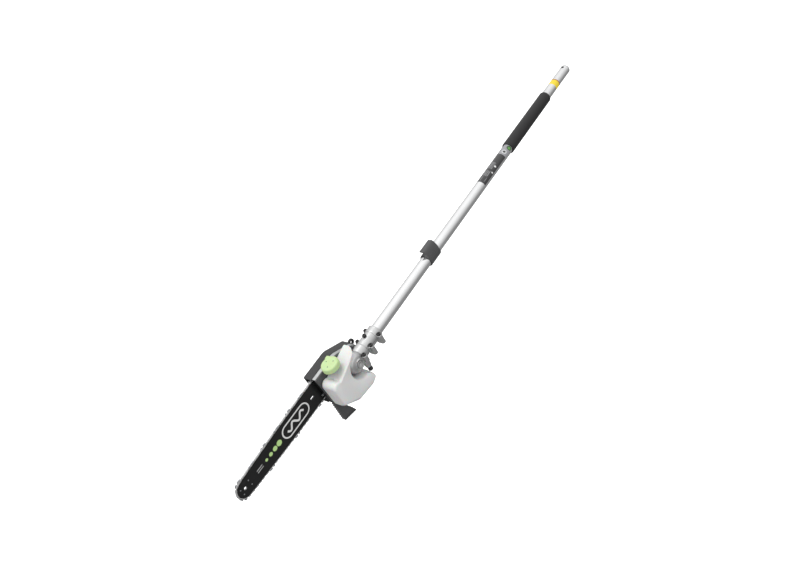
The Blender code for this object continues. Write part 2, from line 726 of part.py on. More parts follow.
def make_chain():
    low, high = BAR_Y - CHAIN_THICK / 2, BAR_Y + CHAIN_THICK / 2
    chain = plate("saw_chain", "XZ", [chain_loop(CHAIN_HEIGHT), chain_loop(0)], low, high, "steel")
    return chain


def make_tension():
    screw = cylinder("tension_screw", "X", 1.0690, 1.1040, (TENSION_Y, TENSION_Z), TENSION_RADIUS, "steel", 16)
    join(screw, cylinder("tension_head", "X", 1.1038, 1.1075, (TENSION_Y, TENSION_Z), 0.0024, sides=16))
    x, y, z = TENSION_X, TENSION_Y, TENSION_Z
    nut = block("tension_block", (x - 0.004, y - 0.0030, z - 0.0045), (x + 0.004, y + 0.0031, z + 0.0045), "steel")
    pin = cylinder("tension_pin", "Y", -0.0345, y - 0.0028, (x, z), 0.0020, sides=16)
    cut(nut, cylinder("tension_bore", "X", x - 0.01, x + 0.01, (y, z), TENSION_RADIUS + GAP, sides=16))
    join(nut, pin)


def make_pump():
    """Oil pump block in its pocket in the chassis, with the plunger in a bore along Z."""
    body = block("oil_pump", (1.0495, -0.0232, -0.0350), (1.0605, -0.0174, -0.0095), "brass")
    cut(body, cylinder("plunger_bore", "Z", -0.040, -0.012, (1.055, -0.0203), 0.0020 + GAP, sides=16))
    cylinder("pump_plunger", "Z", -0.0362, -0.0130, (1.055, -0.0203), 0.0020, "steel", 16)


# --- Oil tank ---------------------------------------------------------------------------------


def tank_outline(inset, share):
    """C shape round the gear case, open towards the pole, drawn in by inset for edges and walls.

    share goes from 0, the tall outline of the tank's inner side, to 1, the small one of its outer side.
    """
    top = TANK_TOP - inset
    radius = NOTCH_RADIUS + 0.0028 * share + 0.6 * inset
    # The notch runs a little past a half circle, and stops short of it where its upper end nears the top.
    reach = 92 - 2000 * inset
    upper = min(reach, math.degrees(math.asin(min(1, (top - 0.0012 - 0.0040 * share) / radius))))
    notch = arc((OUTPUT_X, 0), radius, -reach, upper, 17)
    return rounded(
        [
            (1.1030 - inset, top, 0.012 - inset / 2),
            (1.1030 - inset, -0.0400 + 0.0100 * share + inset / 2, 0.012 - inset / 2),
            (1.0660, -0.0700 + 0.0190 * share + inset, 0.018 - inset),
            (1.0190 + 0.0060 * share, -0.0750 + 0.0180 * share + inset, 0.013 - 0.004 * share - 0.8 * inset),
            (1.0045 + 0.0060 * share + inset, -0.0560 + 0.0050 * share, 0.007 - 0.0015 * share - 0.6 * inset),
            (1.0120 + 0.0030 * share + inset, -0.0390 - inset, 0.007 - 0.0015 * share - 0.6 * inset),
            *[(x, z, 0) for x, z in notch],
            (1.0130 + 0.0150 * share + 3 * inset, top - 0.0004, 0),
        ]
    )


def lofted(name, rings, material=None):
    """A closed solid through rings of (Y, outline), which all have the same count of points."""
    shape = bmesh.new()
    rows = [[shape.verts.new((x, y, z)) for x, z in outline] for y, outline in rings]
    count = len(rows[0])
    for near, far in zip(rows, rows[1:]):
        for k in range(count):
            shape.faces.new((near[k], near[(k + 1) % count], far[(k + 1) % count], far[k]))
    shape.faces.new(rows[0][::-1])
    shape.faces.new(rows[-1])
    bmesh.ops.recalc_face_normals(shape, faces=shape.faces)
    bmesh.ops.triangulate(shape, faces=shape.faces, ngon_method="EAR_CLIP")
    mesh = bpy.data.meshes.new(name)
    shape.to_mesh(mesh)
    shape.free()
    return add_object(name, mesh, material)


def make_tank():
    steps = [
        (TANK_OUT, 0.0022, 0),
        (TANK_OUT + 0.0012, 0.0004, 0),
        (0.0040, 0, 0),
        (0.0110, 0, 0.25),
        (0.0180, 0, 0.65),
        (0.0222, 0.0006, 0.92),
        (0.0242, 0.0020, 1),
        (TANK_IN, 0.0046, 1),
    ]
    tank = lofted("oil_tank", [(y, tank_outline(inset, share)) for y, inset, share in steps], "tank")
    inner_steps = [
        (TANK_OUT + TANK_WALL, 0, 0),
        (0.0035, 0, 0),
        (0.0170, 0.0004, 0.65),
        (0.0208, 0.0010, 1),
        (TANK_IN - TANK_WALL, 0.0026, 1),
    ]
    hollow = lofted("tank_hollow", [(y, tank_outline(TANK_WALL + inset, share)) for y, inset, share in inner_steps])
    neck = cylinder("tank_neck", "Z", TANK_TOP - 0.004, 0.0465, (CAP_X, CAP_Y), NECK_OUT, sides=28)
    bore = cylinder("tank_bore", "Z", TANK_TOP - 0.008, 0.060, (CAP_X, CAP_Y), NECK_BORE, sides=28)
    join(tank, neck)
    cut(tank, hollow, bore)
    return tank


def make_cap():
    """Cup over the tank's neck with ribs round its side and a small lug on its far rim."""
    room = NECK_OUT + 0.0006
    profile = [
        (0, CAP_HIGH),
        (CAP_RADIUS - 0.003, CAP_HIGH),
        (CAP_RADIUS, CAP_HIGH - 0.002),
        (CAP_RADIUS, CAP_LOW),
        (room, CAP_LOW),
        (room, CAP_HIGH - 0.002),
        (0, CAP_HIGH - 0.002),
    ]
    cap = turned("oil_cap", "Z", (CAP_X, CAP_Y, 0), profile, "lime", steps=32)
    join(cap, block("cap_lug", (CAP_X - 0.0165, CAP_Y - 0.0225, CAP_LOW + 0.002), (CAP_X - 0.0095, CAP_Y - 0.0120, CAP_LOW + 0.008)))
    ring("cap_seal", "Z", 0.0468, 0.0482, (CAP_X, CAP_Y), NECK_OUT - 0.0001, NECK_BORE + 0.0002, "rubber", 28)


def make_pickup():
    """Pickup pipe from the filler area down to a weighted filter in the tank's lower lobe."""
    pipe = cylinder("oil_pickup", "Z", -0.0500, 0.0200, (1.0640, 0.0040), 0.0025, "rubber", 12)
    join(pipe, cylinder("pickup_filter", "Z", -0.0540, -0.0430, (1.0640, 0.0040), 0.0055, sides=16))


make_pole()
make_drive_line()
make_gear_case()
make_screws()
make_knob()
make_gears()
make_output()
make_chassis()
make_chassis_screws()
make_hook_plate()
make_cover()
make_stud_and_nut()
make_bar()
make_chain()
make_tension()
make_pump()
make_tank()
make_cap()
make_pickup()
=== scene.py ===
"""Pole saw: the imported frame, dressed with the surfaces, finishes, light and camera of the real tool."""

import json
import math
import bmesh
import bpy
import numpy as np
from mathutils import Matrix, Vector


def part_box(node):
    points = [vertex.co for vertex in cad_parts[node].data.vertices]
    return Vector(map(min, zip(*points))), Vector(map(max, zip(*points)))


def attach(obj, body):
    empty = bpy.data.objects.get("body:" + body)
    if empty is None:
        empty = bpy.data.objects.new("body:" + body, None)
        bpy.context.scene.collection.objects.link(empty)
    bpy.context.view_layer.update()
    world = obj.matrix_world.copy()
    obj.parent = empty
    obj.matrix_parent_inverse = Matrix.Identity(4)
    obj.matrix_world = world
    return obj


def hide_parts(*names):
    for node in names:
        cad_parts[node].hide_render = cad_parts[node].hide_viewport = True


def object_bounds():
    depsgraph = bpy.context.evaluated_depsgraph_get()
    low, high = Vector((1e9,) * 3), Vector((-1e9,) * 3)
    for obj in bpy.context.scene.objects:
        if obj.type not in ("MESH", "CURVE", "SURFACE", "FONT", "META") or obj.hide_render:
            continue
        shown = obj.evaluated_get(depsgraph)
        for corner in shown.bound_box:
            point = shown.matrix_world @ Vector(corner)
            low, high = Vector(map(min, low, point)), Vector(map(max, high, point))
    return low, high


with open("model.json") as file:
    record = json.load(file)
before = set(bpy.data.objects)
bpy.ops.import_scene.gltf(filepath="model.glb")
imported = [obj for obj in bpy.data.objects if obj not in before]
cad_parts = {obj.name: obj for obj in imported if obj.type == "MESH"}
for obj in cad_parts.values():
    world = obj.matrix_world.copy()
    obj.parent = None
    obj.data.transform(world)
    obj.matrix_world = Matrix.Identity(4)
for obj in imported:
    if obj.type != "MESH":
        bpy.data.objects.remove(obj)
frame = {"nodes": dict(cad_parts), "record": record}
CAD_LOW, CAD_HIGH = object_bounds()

NODES = frame["nodes"]
TURN = 2 * np.pi
MM = 0.001
SHARP = 32  # degrees between two faces, above which their edge is shaded sharp


# --- Shapes -----------------------------------------------------------------------------------


def grid_shell(points, along=False):
    """(points, faces) of a closed shell over a grid of points (rows, columns, 3).

    Each face joins four neighbours, and the columns close on themselves. The rows close too with
    along. Without it, one face lies over the first row and one over the last.
    """
    rows, columns = points.shape[:2]
    row = np.arange(rows if along else rows - 1)[:, None]
    column = np.arange(columns)[None, :]
    here, right = row * columns + column, row * columns + (column + 1) % columns
    below = (row + 1) % rows * columns + column
    across = (row + 1) % rows * columns + (column + 1) % columns
    faces = np.stack([here, right, across, below], -1).reshape(-1, 4).tolist()
    if not along:
        faces.append(list(range(columns))[::-1])
        faces.append(list(range((rows - 1) * columns, rows * columns)))
    return points.reshape(-1, 3), faces


def joined_mesh(name, points, faces, gap, sliver=None):
    """A mesh with points closer than gap joined, edges under sliver dissolved and faces outwards."""
    mesh = bpy.data.meshes.new(name)
    mesh.from_pydata(points.tolist(), [], faces)
    work = bmesh.new()
    work.from_mesh(mesh)
    bmesh.ops.remove_doubles(work, verts=work.verts, dist=gap)
    if sliver:
        bmesh.ops.dissolve_degenerate(work, edges=work.edges, dist=sliver)
    bmesh.ops.recalc_face_normals(work, faces=work.faces)
    work.to_mesh(mesh)
    work.free()
    return mesh


def piece(name, shells, slot, body, replaces=(), sharp=SHARP, material=None):
    """One object of several closed shells, in its slot's material or its own, riding on a CAD body."""
    points, faces, start = [], [], 0
    for shell_points, shell_faces in shells:
        points.append(np.asarray(shell_points, float))
        faces += [[k + start for k in face] for face in shell_faces]
        start += len(shell_points)
    mesh = joined_mesh(name, np.concatenate(points), faces, 2e-6, 1e-7)
    mesh.shade_smooth()
    mesh.set_sharp_from_angle(angle=math.radians(sharp))
    mesh.materials.append(material or MATERIALS[slot])
    obj = bpy.data.objects.new(name, mesh)
    bpy.context.scene.collection.objects.link(obj)
    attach(obj, body)
    if replaces:
        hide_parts(*replaces)
    return obj


def placed(axis, across, along):
    """Points from two coordinates across an axis, in X, Y, Z order, and one along it."""
    u, v = across
    order = {"X": (along, u, v), "Y": (u, along, v), "Z": (u, v, along)}[axis]
    return np.stack(np.broadcast_arrays(*order), -1)


def turned(axis, centre, profile, steps=64, lobes=None, ring=False):
    """A profile of (radius, place) rows carried round an axis.

    With ring the profile closes on itself. lobes(angle) gives what each row's radius is multiplied
    by, as an array (rows, steps).
    """
    profile = np.asarray(profile, float)
    angle = np.linspace(0, TURN, steps, endpoint=False)
    radius = profile[:, :1] * (1 if lobes is None else lobes(angle))
    across = (centre[0] + radius * np.cos(angle), centre[1] + radius * np.sin(angle))
    return grid_shell(placed(axis, across, profile[:, 1:2]), along=ring)


def rod(axis, centre, radius, low, high, steps):
    """A plain cylinder from low to high along an axis."""
    return turned(axis, centre, [(0, low), (radius, low), (radius, high), (0, high)], steps)


def rectangle(left, right, bottom, top):
    return [(left, bottom), (right, bottom), (right, top), (left, top)]


def rounded(corners, steps=8):
    """A polygon of (u, v, radius) corners, each corner an arc of its radius tangent to both edges."""
    corners = np.asarray(corners, float)
    points = []
    for k, (u, v, radius) in enumerate(corners):
        corner = np.array([u, v])
        if radius <= 0:
            points.append(corner[None])
            continue
        before = corners[k - 1, :2] - corner
        after = corners[(k + 1) % len(corners), :2] - corner
        before, after = before / np.linalg.norm(before), after / np.linalg.norm(after)
        half = math.acos(np.clip(before @ after, -1, 1)) / 2
        middle = before + after
        centre = corner + middle / np.linalg.norm(middle) * radius / math.sin(half)
        first = corner + before * radius / math.tan(half) - centre
        last = corner + after * radius / math.tan(half) - centre
        share = np.linspace(0, 1, steps + 1)[:, None]
        spread = math.pi - 2 * half
        arc = (np.sin((1 - share) * spread) * first + np.sin(share * spread) * last) / math.sin(spread)
        points.append(centre + arc)
    return np.concatenate(points)


def arc(centre, radius, start, end, count):
    """count points on a circle, from start to end in degrees."""
    angle = np.radians(np.linspace(start, end, count))
    return np.stack([centre[0] + radius * np.cos(angle), centre[1] + radius * np.sin(angle)], -1)


def grown(outline, distance):
    """Each point of a closed outline moved outwards so that both of its edges move by distance."""
    before = outline - np.roll(outline, 1, 0)
    after = np.roll(outline, -1, 0) - outline
    area = np.sum(outline[:, 0] * np.roll(outline[:, 1], -1) - np.roll(outline[:, 0], -1) * outline[:, 1])
    normals = [np.stack([edge[:, 1], -edge[:, 0]], -1) for edge in (before, after)]
    first, second = (n / np.maximum(np.linalg.norm(n, axis=1, keepdims=True), 1e-12) for n in normals)
    share = 1 + np.sum(first * second, 1, keepdims=True)
    return outline + distance * np.sign(area) * (first + second) / np.maximum(share, 0.5)


def edge_rows(low, high, edge, steps=4):
    """(place, inset) rows from low to high whose ends are quarter circles of the radius edge."""
    angle = np.linspace(0, np.pi / 2, steps + 1)
    place, inset = edge * (1 - np.cos(angle)), edge * (1 - np.sin(angle))
    first = np.stack([low + place, inset], -1)
    last = np.stack([high - place, inset], -1)
    return np.concatenate([first, last[::-1]])


def slab(axis, outline, low, high, edge=0.0006, steps=3):
    """An outline carried along an axis, drawn in at both ends along a quarter circle."""
    outline = np.asarray(outline, float)
    rows = [placed(axis, grown(outline, -inset).T, place)
            for place, inset in edge_rows(low, high, edge, steps)]
    return grid_shell(np.array(rows))


def ribbon(axis, path, width, low, high, closed=True):
    """A flat strip of a width along a path, from low to high along an axis."""
    path = np.asarray(path, float)
    if closed:
        sides = np.stack([grown(path, width / 2), grown(path, -width / 2)])
        rows = [placed(axis, sides[k].T, place)
                for k, place in ((0, low), (0, high), (1, high), (1, low))]
        return grid_shell(np.array(rows), along=True)
    step = np.gradient(path, axis=0)
    step /= np.linalg.norm(step, axis=1, keepdims=True)
    normal = np.stack([-step[:, 1], step[:, 0]], -1) * width / 2
    outline = np.concatenate([path + normal, (path - normal)[::-1]])
    rows = [placed(axis, outline.T, place) for place in (low, high)]
    return grid_shell(np.array(rows))


def applied(obj, *modifiers):
    """Adds modifiers of (type, settings), then keeps only what they make."""
    for kind, settings in modifiers:
        modifier = obj.modifiers.new(kind.lower(), kind)
        for key, value in settings.items():
            setattr(modifier, key, value)
    bpy.context.view_layer.update()
    mesh = bpy.data.meshes.new_from_object(obj.evaluated_get(bpy.context.evaluated_depsgraph_get()))
    obj.modifiers.clear()
    obj.data = mesh


def middle(node):
    low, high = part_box(node)
    return np.array((low + high) / 2)


# --- Finishes ---------------------------------------------------------------------------------


class Maker:
    """Adds nodes to a tree and joins them up. A value is a number, a colour or a node's output."""

    def __init__(self, tree):
        self.tree = tree

    def __call__(self, kind, values=None, **settings):
        node = self.tree.nodes.new(kind)
        for key, value in settings.items():
            setattr(node, key, value)
        for key, value in (values or {}).items():
            if isinstance(value, bpy.types.NodeSocket):
                self.tree.links.new(value, node.inputs[key])
            else:
                node.inputs[key].default_value = value
        return node

    def math(self, operation, first, second=0.5, third=0.5, clamp=False):
        values = {0: first, 1: second, 2: third}
        return self("ShaderNodeMath", values, operation=operation, use_clamp=clamp).outputs[0]

    def mix(self, share, first, second):
        """Colour from first to second by share."""
        node = self("ShaderNodeMix", {0: share, 6: first, 7: second}, data_type="RGBA")
        return node.outputs[2]

    def blend(self, share, first, second):
        """Number from first to second by share."""
        return self("ShaderNodeMix", {0: share, 2: first, 3: second}).outputs[0]

    def scaled(self, vector, factors):
        """A vector with each coordinate multiplied by its own factor."""
        return self("ShaderNodeVectorMath", {0: vector, 1: factors}, operation="MULTIPLY").outputs[0]

    def noise(self, place, scale, detail=3.0):
        values = {"Vector": place, "Scale": scale, "Detail": detail}
        return self("ShaderNodeTexNoise", values).outputs["Fac"]

    def use(self, tree, **values):
        return self("ShaderNodeGroup", values, node_tree=tree).outputs


def new_group(name, inputs, outputs):
    """An empty node group with named sockets, and its maker, input sockets and output node."""
    tree = bpy.data.node_groups.new(name, "ShaderNodeTree")
    for label, kind in inputs.items():
        tree.interface.new_socket(label, in_out="INPUT", socket_type="NodeSocket" + kind)
    for label, kind in outputs.items():
        tree.interface.new_socket(label, in_out="OUTPUT", socket_type="NodeSocket" + kind)
    return tree, Maker(tree), tree.nodes.new("NodeGroupInput").outputs, tree.nodes.new("NodeGroupOutput")


def make_grain():
    """Fine grain and slow patches: a bumped normal, an uneven roughness and a shade from 0 to 1."""
    inputs = {"Place": "Vector", "Stretch": "Vector", "Size": "Float", "Depth": "Float"}
    inputs |= {"Patch": "Float", "Rough": "Float", "Uneven": "Float"}
    outputs = {"Shade": "Float", "Roughness": "Float", "Normal": "Vector"}
    tree, make, given, result = new_group("grain", inputs, outputs)
    stretched = make.scaled(given["Place"], given["Stretch"])
    fine = make.noise(stretched, make.math("DIVIDE", 1.0, given["Size"]))
    patches = make.noise(given["Place"], make.math("DIVIDE", 1.0, given["Patch"]), 4.0)
    height = make.math("MULTIPLY", fine, given["Size"])
    bump = make("ShaderNodeBump", {"Strength": given["Depth"], "Distance": 0.2, "Height": height})
    swing = make.math("MULTIPLY", make.math("SUBTRACT", patches, 0.5), given["Uneven"])
    shade = make.math("MULTIPLY_ADD", fine, 0.4, make.math("MULTIPLY", patches, 0.6), clamp=True)
    made = (shade, make.math("ADD", given["Rough"], swing, clamp=True), bump.outputs[0])
    for socket, value in zip(result.inputs, made):
        tree.links.new(value, socket)
    return tree


def make_wear():
    """How much a raised edge is rubbed, from 0 to 1, broken up by noise."""
    inputs = {"Place": "Vector", "Amount": "Float"}
    tree, make, given, result = new_group("edge_wear", inputs, {"Mask": "Float"})
    edge = make("ShaderNodeNewGeometry").outputs["Pointiness"]
    raised = make.math("MULTIPLY", make.math("SUBTRACT", edge, 0.515), 22.0, clamp=True)
    broken = make.math("MULTIPLY", raised, make.noise(given["Place"], 420.0, 5.0))
    tree.links.new(make.math("MULTIPLY", broken, given["Amount"], clamp=True), result.inputs[0])
    return tree


def make_span():
    """1 where a value lies between two others, and 0 elsewhere."""
    inputs = {"Value": "Float", "From": "Float", "To": "Float"}
    tree, make, given, result = new_group("span", inputs, {"Inside": "Float"})
    above = make.math("GREATER_THAN", given["Value"], given["From"])
    below = make.math("LESS_THAN", given["Value"], given["To"])
    tree.links.new(make.math("MULTIPLY", above, below), result.inputs[0])
    return tree


GRAIN, WEAR, SPAN = make_grain(), make_wear(), make_span()


def shaded(colour, share):
    return (*[channel * share for channel in colour], 1)


def finish(name, colour, rough, metal=0.0, size=0.5, depth=0.3, patch=12, uneven=0.1, dark=0.8,
           stretch=(1, 1, 1), worn=None, wear=0.0, sockets=None):
    """A material in one colour with grain, uneven gloss and rubbed edges. Sizes are in millimetres."""
    material = bpy.data.materials.new(name)
    material.use_nodes = True
    make = Maker(material.node_tree)
    shader = material.node_tree.nodes["Principled BSDF"]
    place = make("ShaderNodeTexCoord").outputs["Object"]
    grain = make.use(GRAIN, Place=place, Stretch=stretch, Size=size * MM, Depth=depth, Patch=patch * MM,
                     Rough=rough, Uneven=uneven)
    light = 2 - dark if max(colour) < 0.6 else 1.0
    base = make.mix(grain["Shade"], shaded(colour, dark), shaded(colour, light))
    roughness = grain["Roughness"]
    shader.inputs["Metallic"].default_value = metal
    if worn:
        mask = make.use(WEAR, Place=place, Amount=wear)["Mask"]
        base = make.mix(mask, base, shaded(worn, 1))
        roughness = make.blend(mask, roughness, 0.5)
    link = material.node_tree.links.new
    link(base, shader.inputs["Base Color"])
    link(roughness, shader.inputs["Roughness"])
    link(grain["Normal"], shader.inputs["Normal"])
    for key, value in (sockets or {}).items():
        shader.inputs[key].default_value = value
    return material, make, shader, place, base


def painted(made, *coats):
    """Lays coats of (mask, colour, roughness or None) over a finish."""
    material, make, shader, place, base = made
    link = material.node_tree.links.new
    rough = shader.inputs["Roughness"].links[0].from_socket
    for mask, colour, roughness in coats:
        base = make.mix(mask, base, shaded(colour, 1))
        if roughness is not None:
            rough = make.blend(mask, rough, roughness)
    link(base, shader.inputs["Base Color"])
    link(rough, shader.inputs["Roughness"])
    return material


# --- Materials --------------------------------------------------------------------------------

TUBE_LOW, TUBE_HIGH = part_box("pole_tube")
TUBE_RADIUS = TUBE_HIGH.z
GRIP_LOW, GRIP_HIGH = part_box("foam_grip")
CHASSIS_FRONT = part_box("chassis_plate")[1].x


def tube_material():
    """Drawn aluminium with lengthways streaks, a yellow band, its red-brown edge and painted shade inside."""
    made = finish("drawn_aluminium_painted_shade", (0.84, 0.845, 0.85), 0.22, 1.0, size=0.5, depth=0.25, patch=30,
                  uneven=0.10, dark=0.86, stretch=(0.02, 1, 1))
    material, make, shader, place, _ = made
    along = make("ShaderNodeSeparateXYZ", {0: place}).outputs[0]
    across = make.scaled(place, (0, 1, 1))
    radius = make("ShaderNodeVectorMath", {0: across}, operation="LENGTH").outputs["Value"]
    # Painted shade: the bore is coloured near black, where it lies in shadow.
    inside = make.math("LESS_THAN", radius, TUBE_RADIUS - 0.0008)
    yellow = make.use(SPAN, Value=along, From=0.0690, To=0.0880)["Inside"]
    brown = make.use(SPAN, Value=along, From=0.0662, To=0.0690)["Inside"]
    both = make.math("ADD", yellow, brown, clamp=True)
    material.node_tree.links.new(make.math("SUBTRACT", 1.0, both, clamp=True), shader.inputs["Metallic"])
    mouth = make.math("LESS_THAN", along, 0.0016)
    return painted(made, (yellow, (0.86, 0.66, 0.03), 0.35), (brown, (0.36, 0.08, 0.02), 0.4),
                   (inside, (0.05, 0.05, 0.05), 0.6), (mouth, (0.16, 0.16, 0.16), 0.5))


def label_material(start):
    """Printed foil: a pale field with a green disc, then a dark field with light dots and bars."""
    made = finish("printed_foil", (0.022, 0.022, 0.023), 0.30, 0.0, size=0.3, depth=0.05, patch=15, dark=0.7,
                  sockets={"Coat Weight": 0.5, "Coat Roughness": 0.15})
    _, make, _, place, _ = made
    x, y, z = make("ShaderNodeSeparateXYZ", {0: place}).outputs
    along = make.math("SUBTRACT", x, start)
    round_about = make.math("MULTIPLY", make.math("SUBTRACT", make.math("ARCTAN2", z, y), 0.70), TUBE_RADIUS)

    def disc(centre, side, radius):
        u, v = make.math("SUBTRACT", along, centre), make.math("SUBTRACT", round_about, side)
        far = make.math("SQRT", make.math("ADD", make.math("MULTIPLY", u, u), make.math("MULTIPLY", v, v)))
        return make.math("LESS_THAN", far, radius)

    def bar(first, last, low, high):
        length = make.use(SPAN, Value=along, From=first, To=last)["Inside"]
        return make.math("MULTIPLY", length, make.use(SPAN, Value=round_about, From=low, To=high)["Inside"])

    marks = (
        (bar(-0.001, 0.0360, -0.0120, 0.0150), (0.30, 0.30, 0.32), 0.35),
        (disc(0.0250, 0.0035, 0.0062), (0.62, 0.63, 0.64), 0.35),
        (disc(0.0250, 0.0035, 0.0036), (0.03, 0.03, 0.03), 0.35),
        (disc(0.0070, -0.0012, 0.0066), (0.025, 0.09, 0.02), 0.3),
        (disc(0.0075, -0.0020, 0.0036), (0.10, 0.34, 0.05), 0.3),
        (disc(0.0790, 0.0000, 0.0026), (0.80, 0.80, 0.80), 0.3),
        (disc(0.0990, -0.0030, 0.0022), (0.80, 0.80, 0.80), 0.3),
        *[(bar(0.0690 + 0.0040 * k, 0.0705 + 0.0040 * k, 0.0030, 0.0150), (0.30, 0.30, 0.31), None)
          for k in range(6)],
        *[(bar(0.0990, 0.1180, 0.0020 + 0.0035 * k, 0.0032 + 0.0035 * k), (0.34, 0.34, 0.35), None)
          for k in range(4)],
        (bar(0.1215, 0.1360, 0.0000, 0.0008), (0.30, 0.30, 0.31), None),
        (bar(0.1215, 0.1360, 0.0100, 0.0108), (0.30, 0.30, 0.31), None),
    )
    return painted(made, *marks)


def chassis_material():
    """Cast metal, with painted shade: its front faces are coloured near black, as they stand in shadow."""
    made = finish("chassis_casting_painted_shade", (0.52, 0.53, 0.53), 0.45, 0.85, size=0.6, depth=0.35, patch=9, dark=0.75)
    _, make, _, place, _ = made
    x = make("ShaderNodeSeparateXYZ", {0: place}).outputs[0]
    # Painted shade on the front faces, which stand in shadow.
    front = make.math("GREATER_THAN", x, CHASSIS_FRONT - 0.0004)
    return painted(made, (front, (0.025, 0.025, 0.027), 0.5))


def bar_material():
    """Black lacquer with faint lengthways rub marks."""
    made = finish("bar_lacquer", (0.009, 0.009, 0.0093), 0.34, size=0.4, depth=0.12, patch=16, dark=0.6,
                  sockets={"Specular IOR Level": 0.35})
    _, make, _, place, _ = made
    streaks = make.noise(make.scaled(place, (0.05, 1, 1)), 900.0, 4.0)
    rubbed = make.math("MULTIPLY", make.math("SUBTRACT", streaks, 0.62), 4.0, clamp=True)
    return painted(made, (rubbed, (0.05, 0.05, 0.05), 0.5))


def plain(*args, **settings):
    return finish(*args, **settings)[0]


MATERIALS = {
    "tube": tube_material(),
    "casting": plain("bead_blasted_casting", (0.66, 0.665, 0.665), 0.30, 0.9, size=0.7, depth=0.35,
                     patch=8, dark=0.72, worn=(0.85, 0.85, 0.84), wear=0.9),
    "steel": plain("ground_steel", (0.50, 0.51, 0.53), 0.30, 1.0, size=0.3, depth=0.2, patch=5, dark=0.7),
    "chain_steel": plain("oiled_chain_steel", (0.46, 0.46, 0.46), 0.34, 0.6, size=0.4, depth=0.25,
                         patch=4, dark=0.5, worn=(0.80, 0.80, 0.79), wear=1.0),
    "black_steel": plain("blackened_steel", (0.012, 0.012, 0.013), 0.34, 0.0, size=0.3, depth=0.2,
                         patch=4, dark=0.6, worn=(0.16, 0.16, 0.16), wear=0.4,
                         sockets={"Specular IOR Level": 0.3}),
    "black_plastic": plain("black_nylon", (0.036, 0.036, 0.037), 0.42, size=0.45, depth=0.4, patch=14,
                           dark=0.75, sockets={"Specular IOR Level": 0.35}),
    "grey_plastic": plain("dark_grey_nylon", (0.062, 0.062, 0.064), 0.36, size=0.45, depth=0.4, patch=10,
                          dark=0.7, sockets={"Specular IOR Level": 0.5}),
    "foam": plain("closed_cell_foam", (0.016, 0.016, 0.0165), 0.50, size=0.55, depth=0.6, patch=18, dark=0.6,
                  sockets={"Specular IOR Level": 0.35}),
    "tank_plastic": plain("milky_polyethylene", (0.76, 0.765, 0.76), 0.30, size=1.2, depth=0.12, patch=26,
                          dark=0.94,
                          sockets={"Subsurface Weight": 0.35, "Subsurface Scale": 0.006, "Coat Weight": 0.1}),
    "lime_plastic": plain("pale_lime_plastic", (0.56, 0.74, 0.36), 0.40, size=0.6, depth=0.3, patch=5,
                          dark=0.86, sockets={"Subsurface Weight": 0.15, "Subsurface Scale": 0.003}),
    "bar_paint": bar_material(),
    "rubber": plain("black_rubber", (0.03, 0.03, 0.03), 0.7, size=0.5, depth=0.4),
    "brass": plain("turned_brass", (0.66, 0.50, 0.22), 0.3, 1.0, size=0.3, depth=0.2, patch=5),
    "white_print": plain("white_ink", (0.78, 0.785, 0.78), 0.42, size=0.3, depth=0.2, patch=4, dark=0.9),
    "green_print": plain("green_ink", (0.50, 0.74, 0.28), 0.42, size=0.3, depth=0.2, patch=4, dark=0.9),
    "chassis": chassis_material(),
}
for row in frame["record"]["subparts"]:
    node = NODES[row["node"]]
    node.data.materials.clear()
    node.data.materials.append(MATERIALS[row["material_slot"]])
NODES["chassis_plate"].data.materials[0] = MATERIALS["chassis"]


# --- Pole -------------------------------------------------------------------------------------


def bored(obj, *shells):
    """Cuts closed shells out of a piece and keeps the result."""
    cutters = []
    for number, (points, faces) in enumerate(shells):
        mesh = joined_mesh(f"cutter_{number}", points, faces, 1e-6)
        cutter = bpy.data.objects.new(mesh.name, mesh)
        bpy.context.scene.collection.objects.link(cutter)
        cutters.append(cutter)
    applied(obj, *[("BOOLEAN", {"operation": "DIFFERENCE", "object": cutter, "solver": "EXACT"})
                   for cutter in cutters])
    for cutter in cutters:
        bpy.data.objects.remove(cutter)
    obj.data.set_sharp_from_angle(angle=math.radians(SHARP))


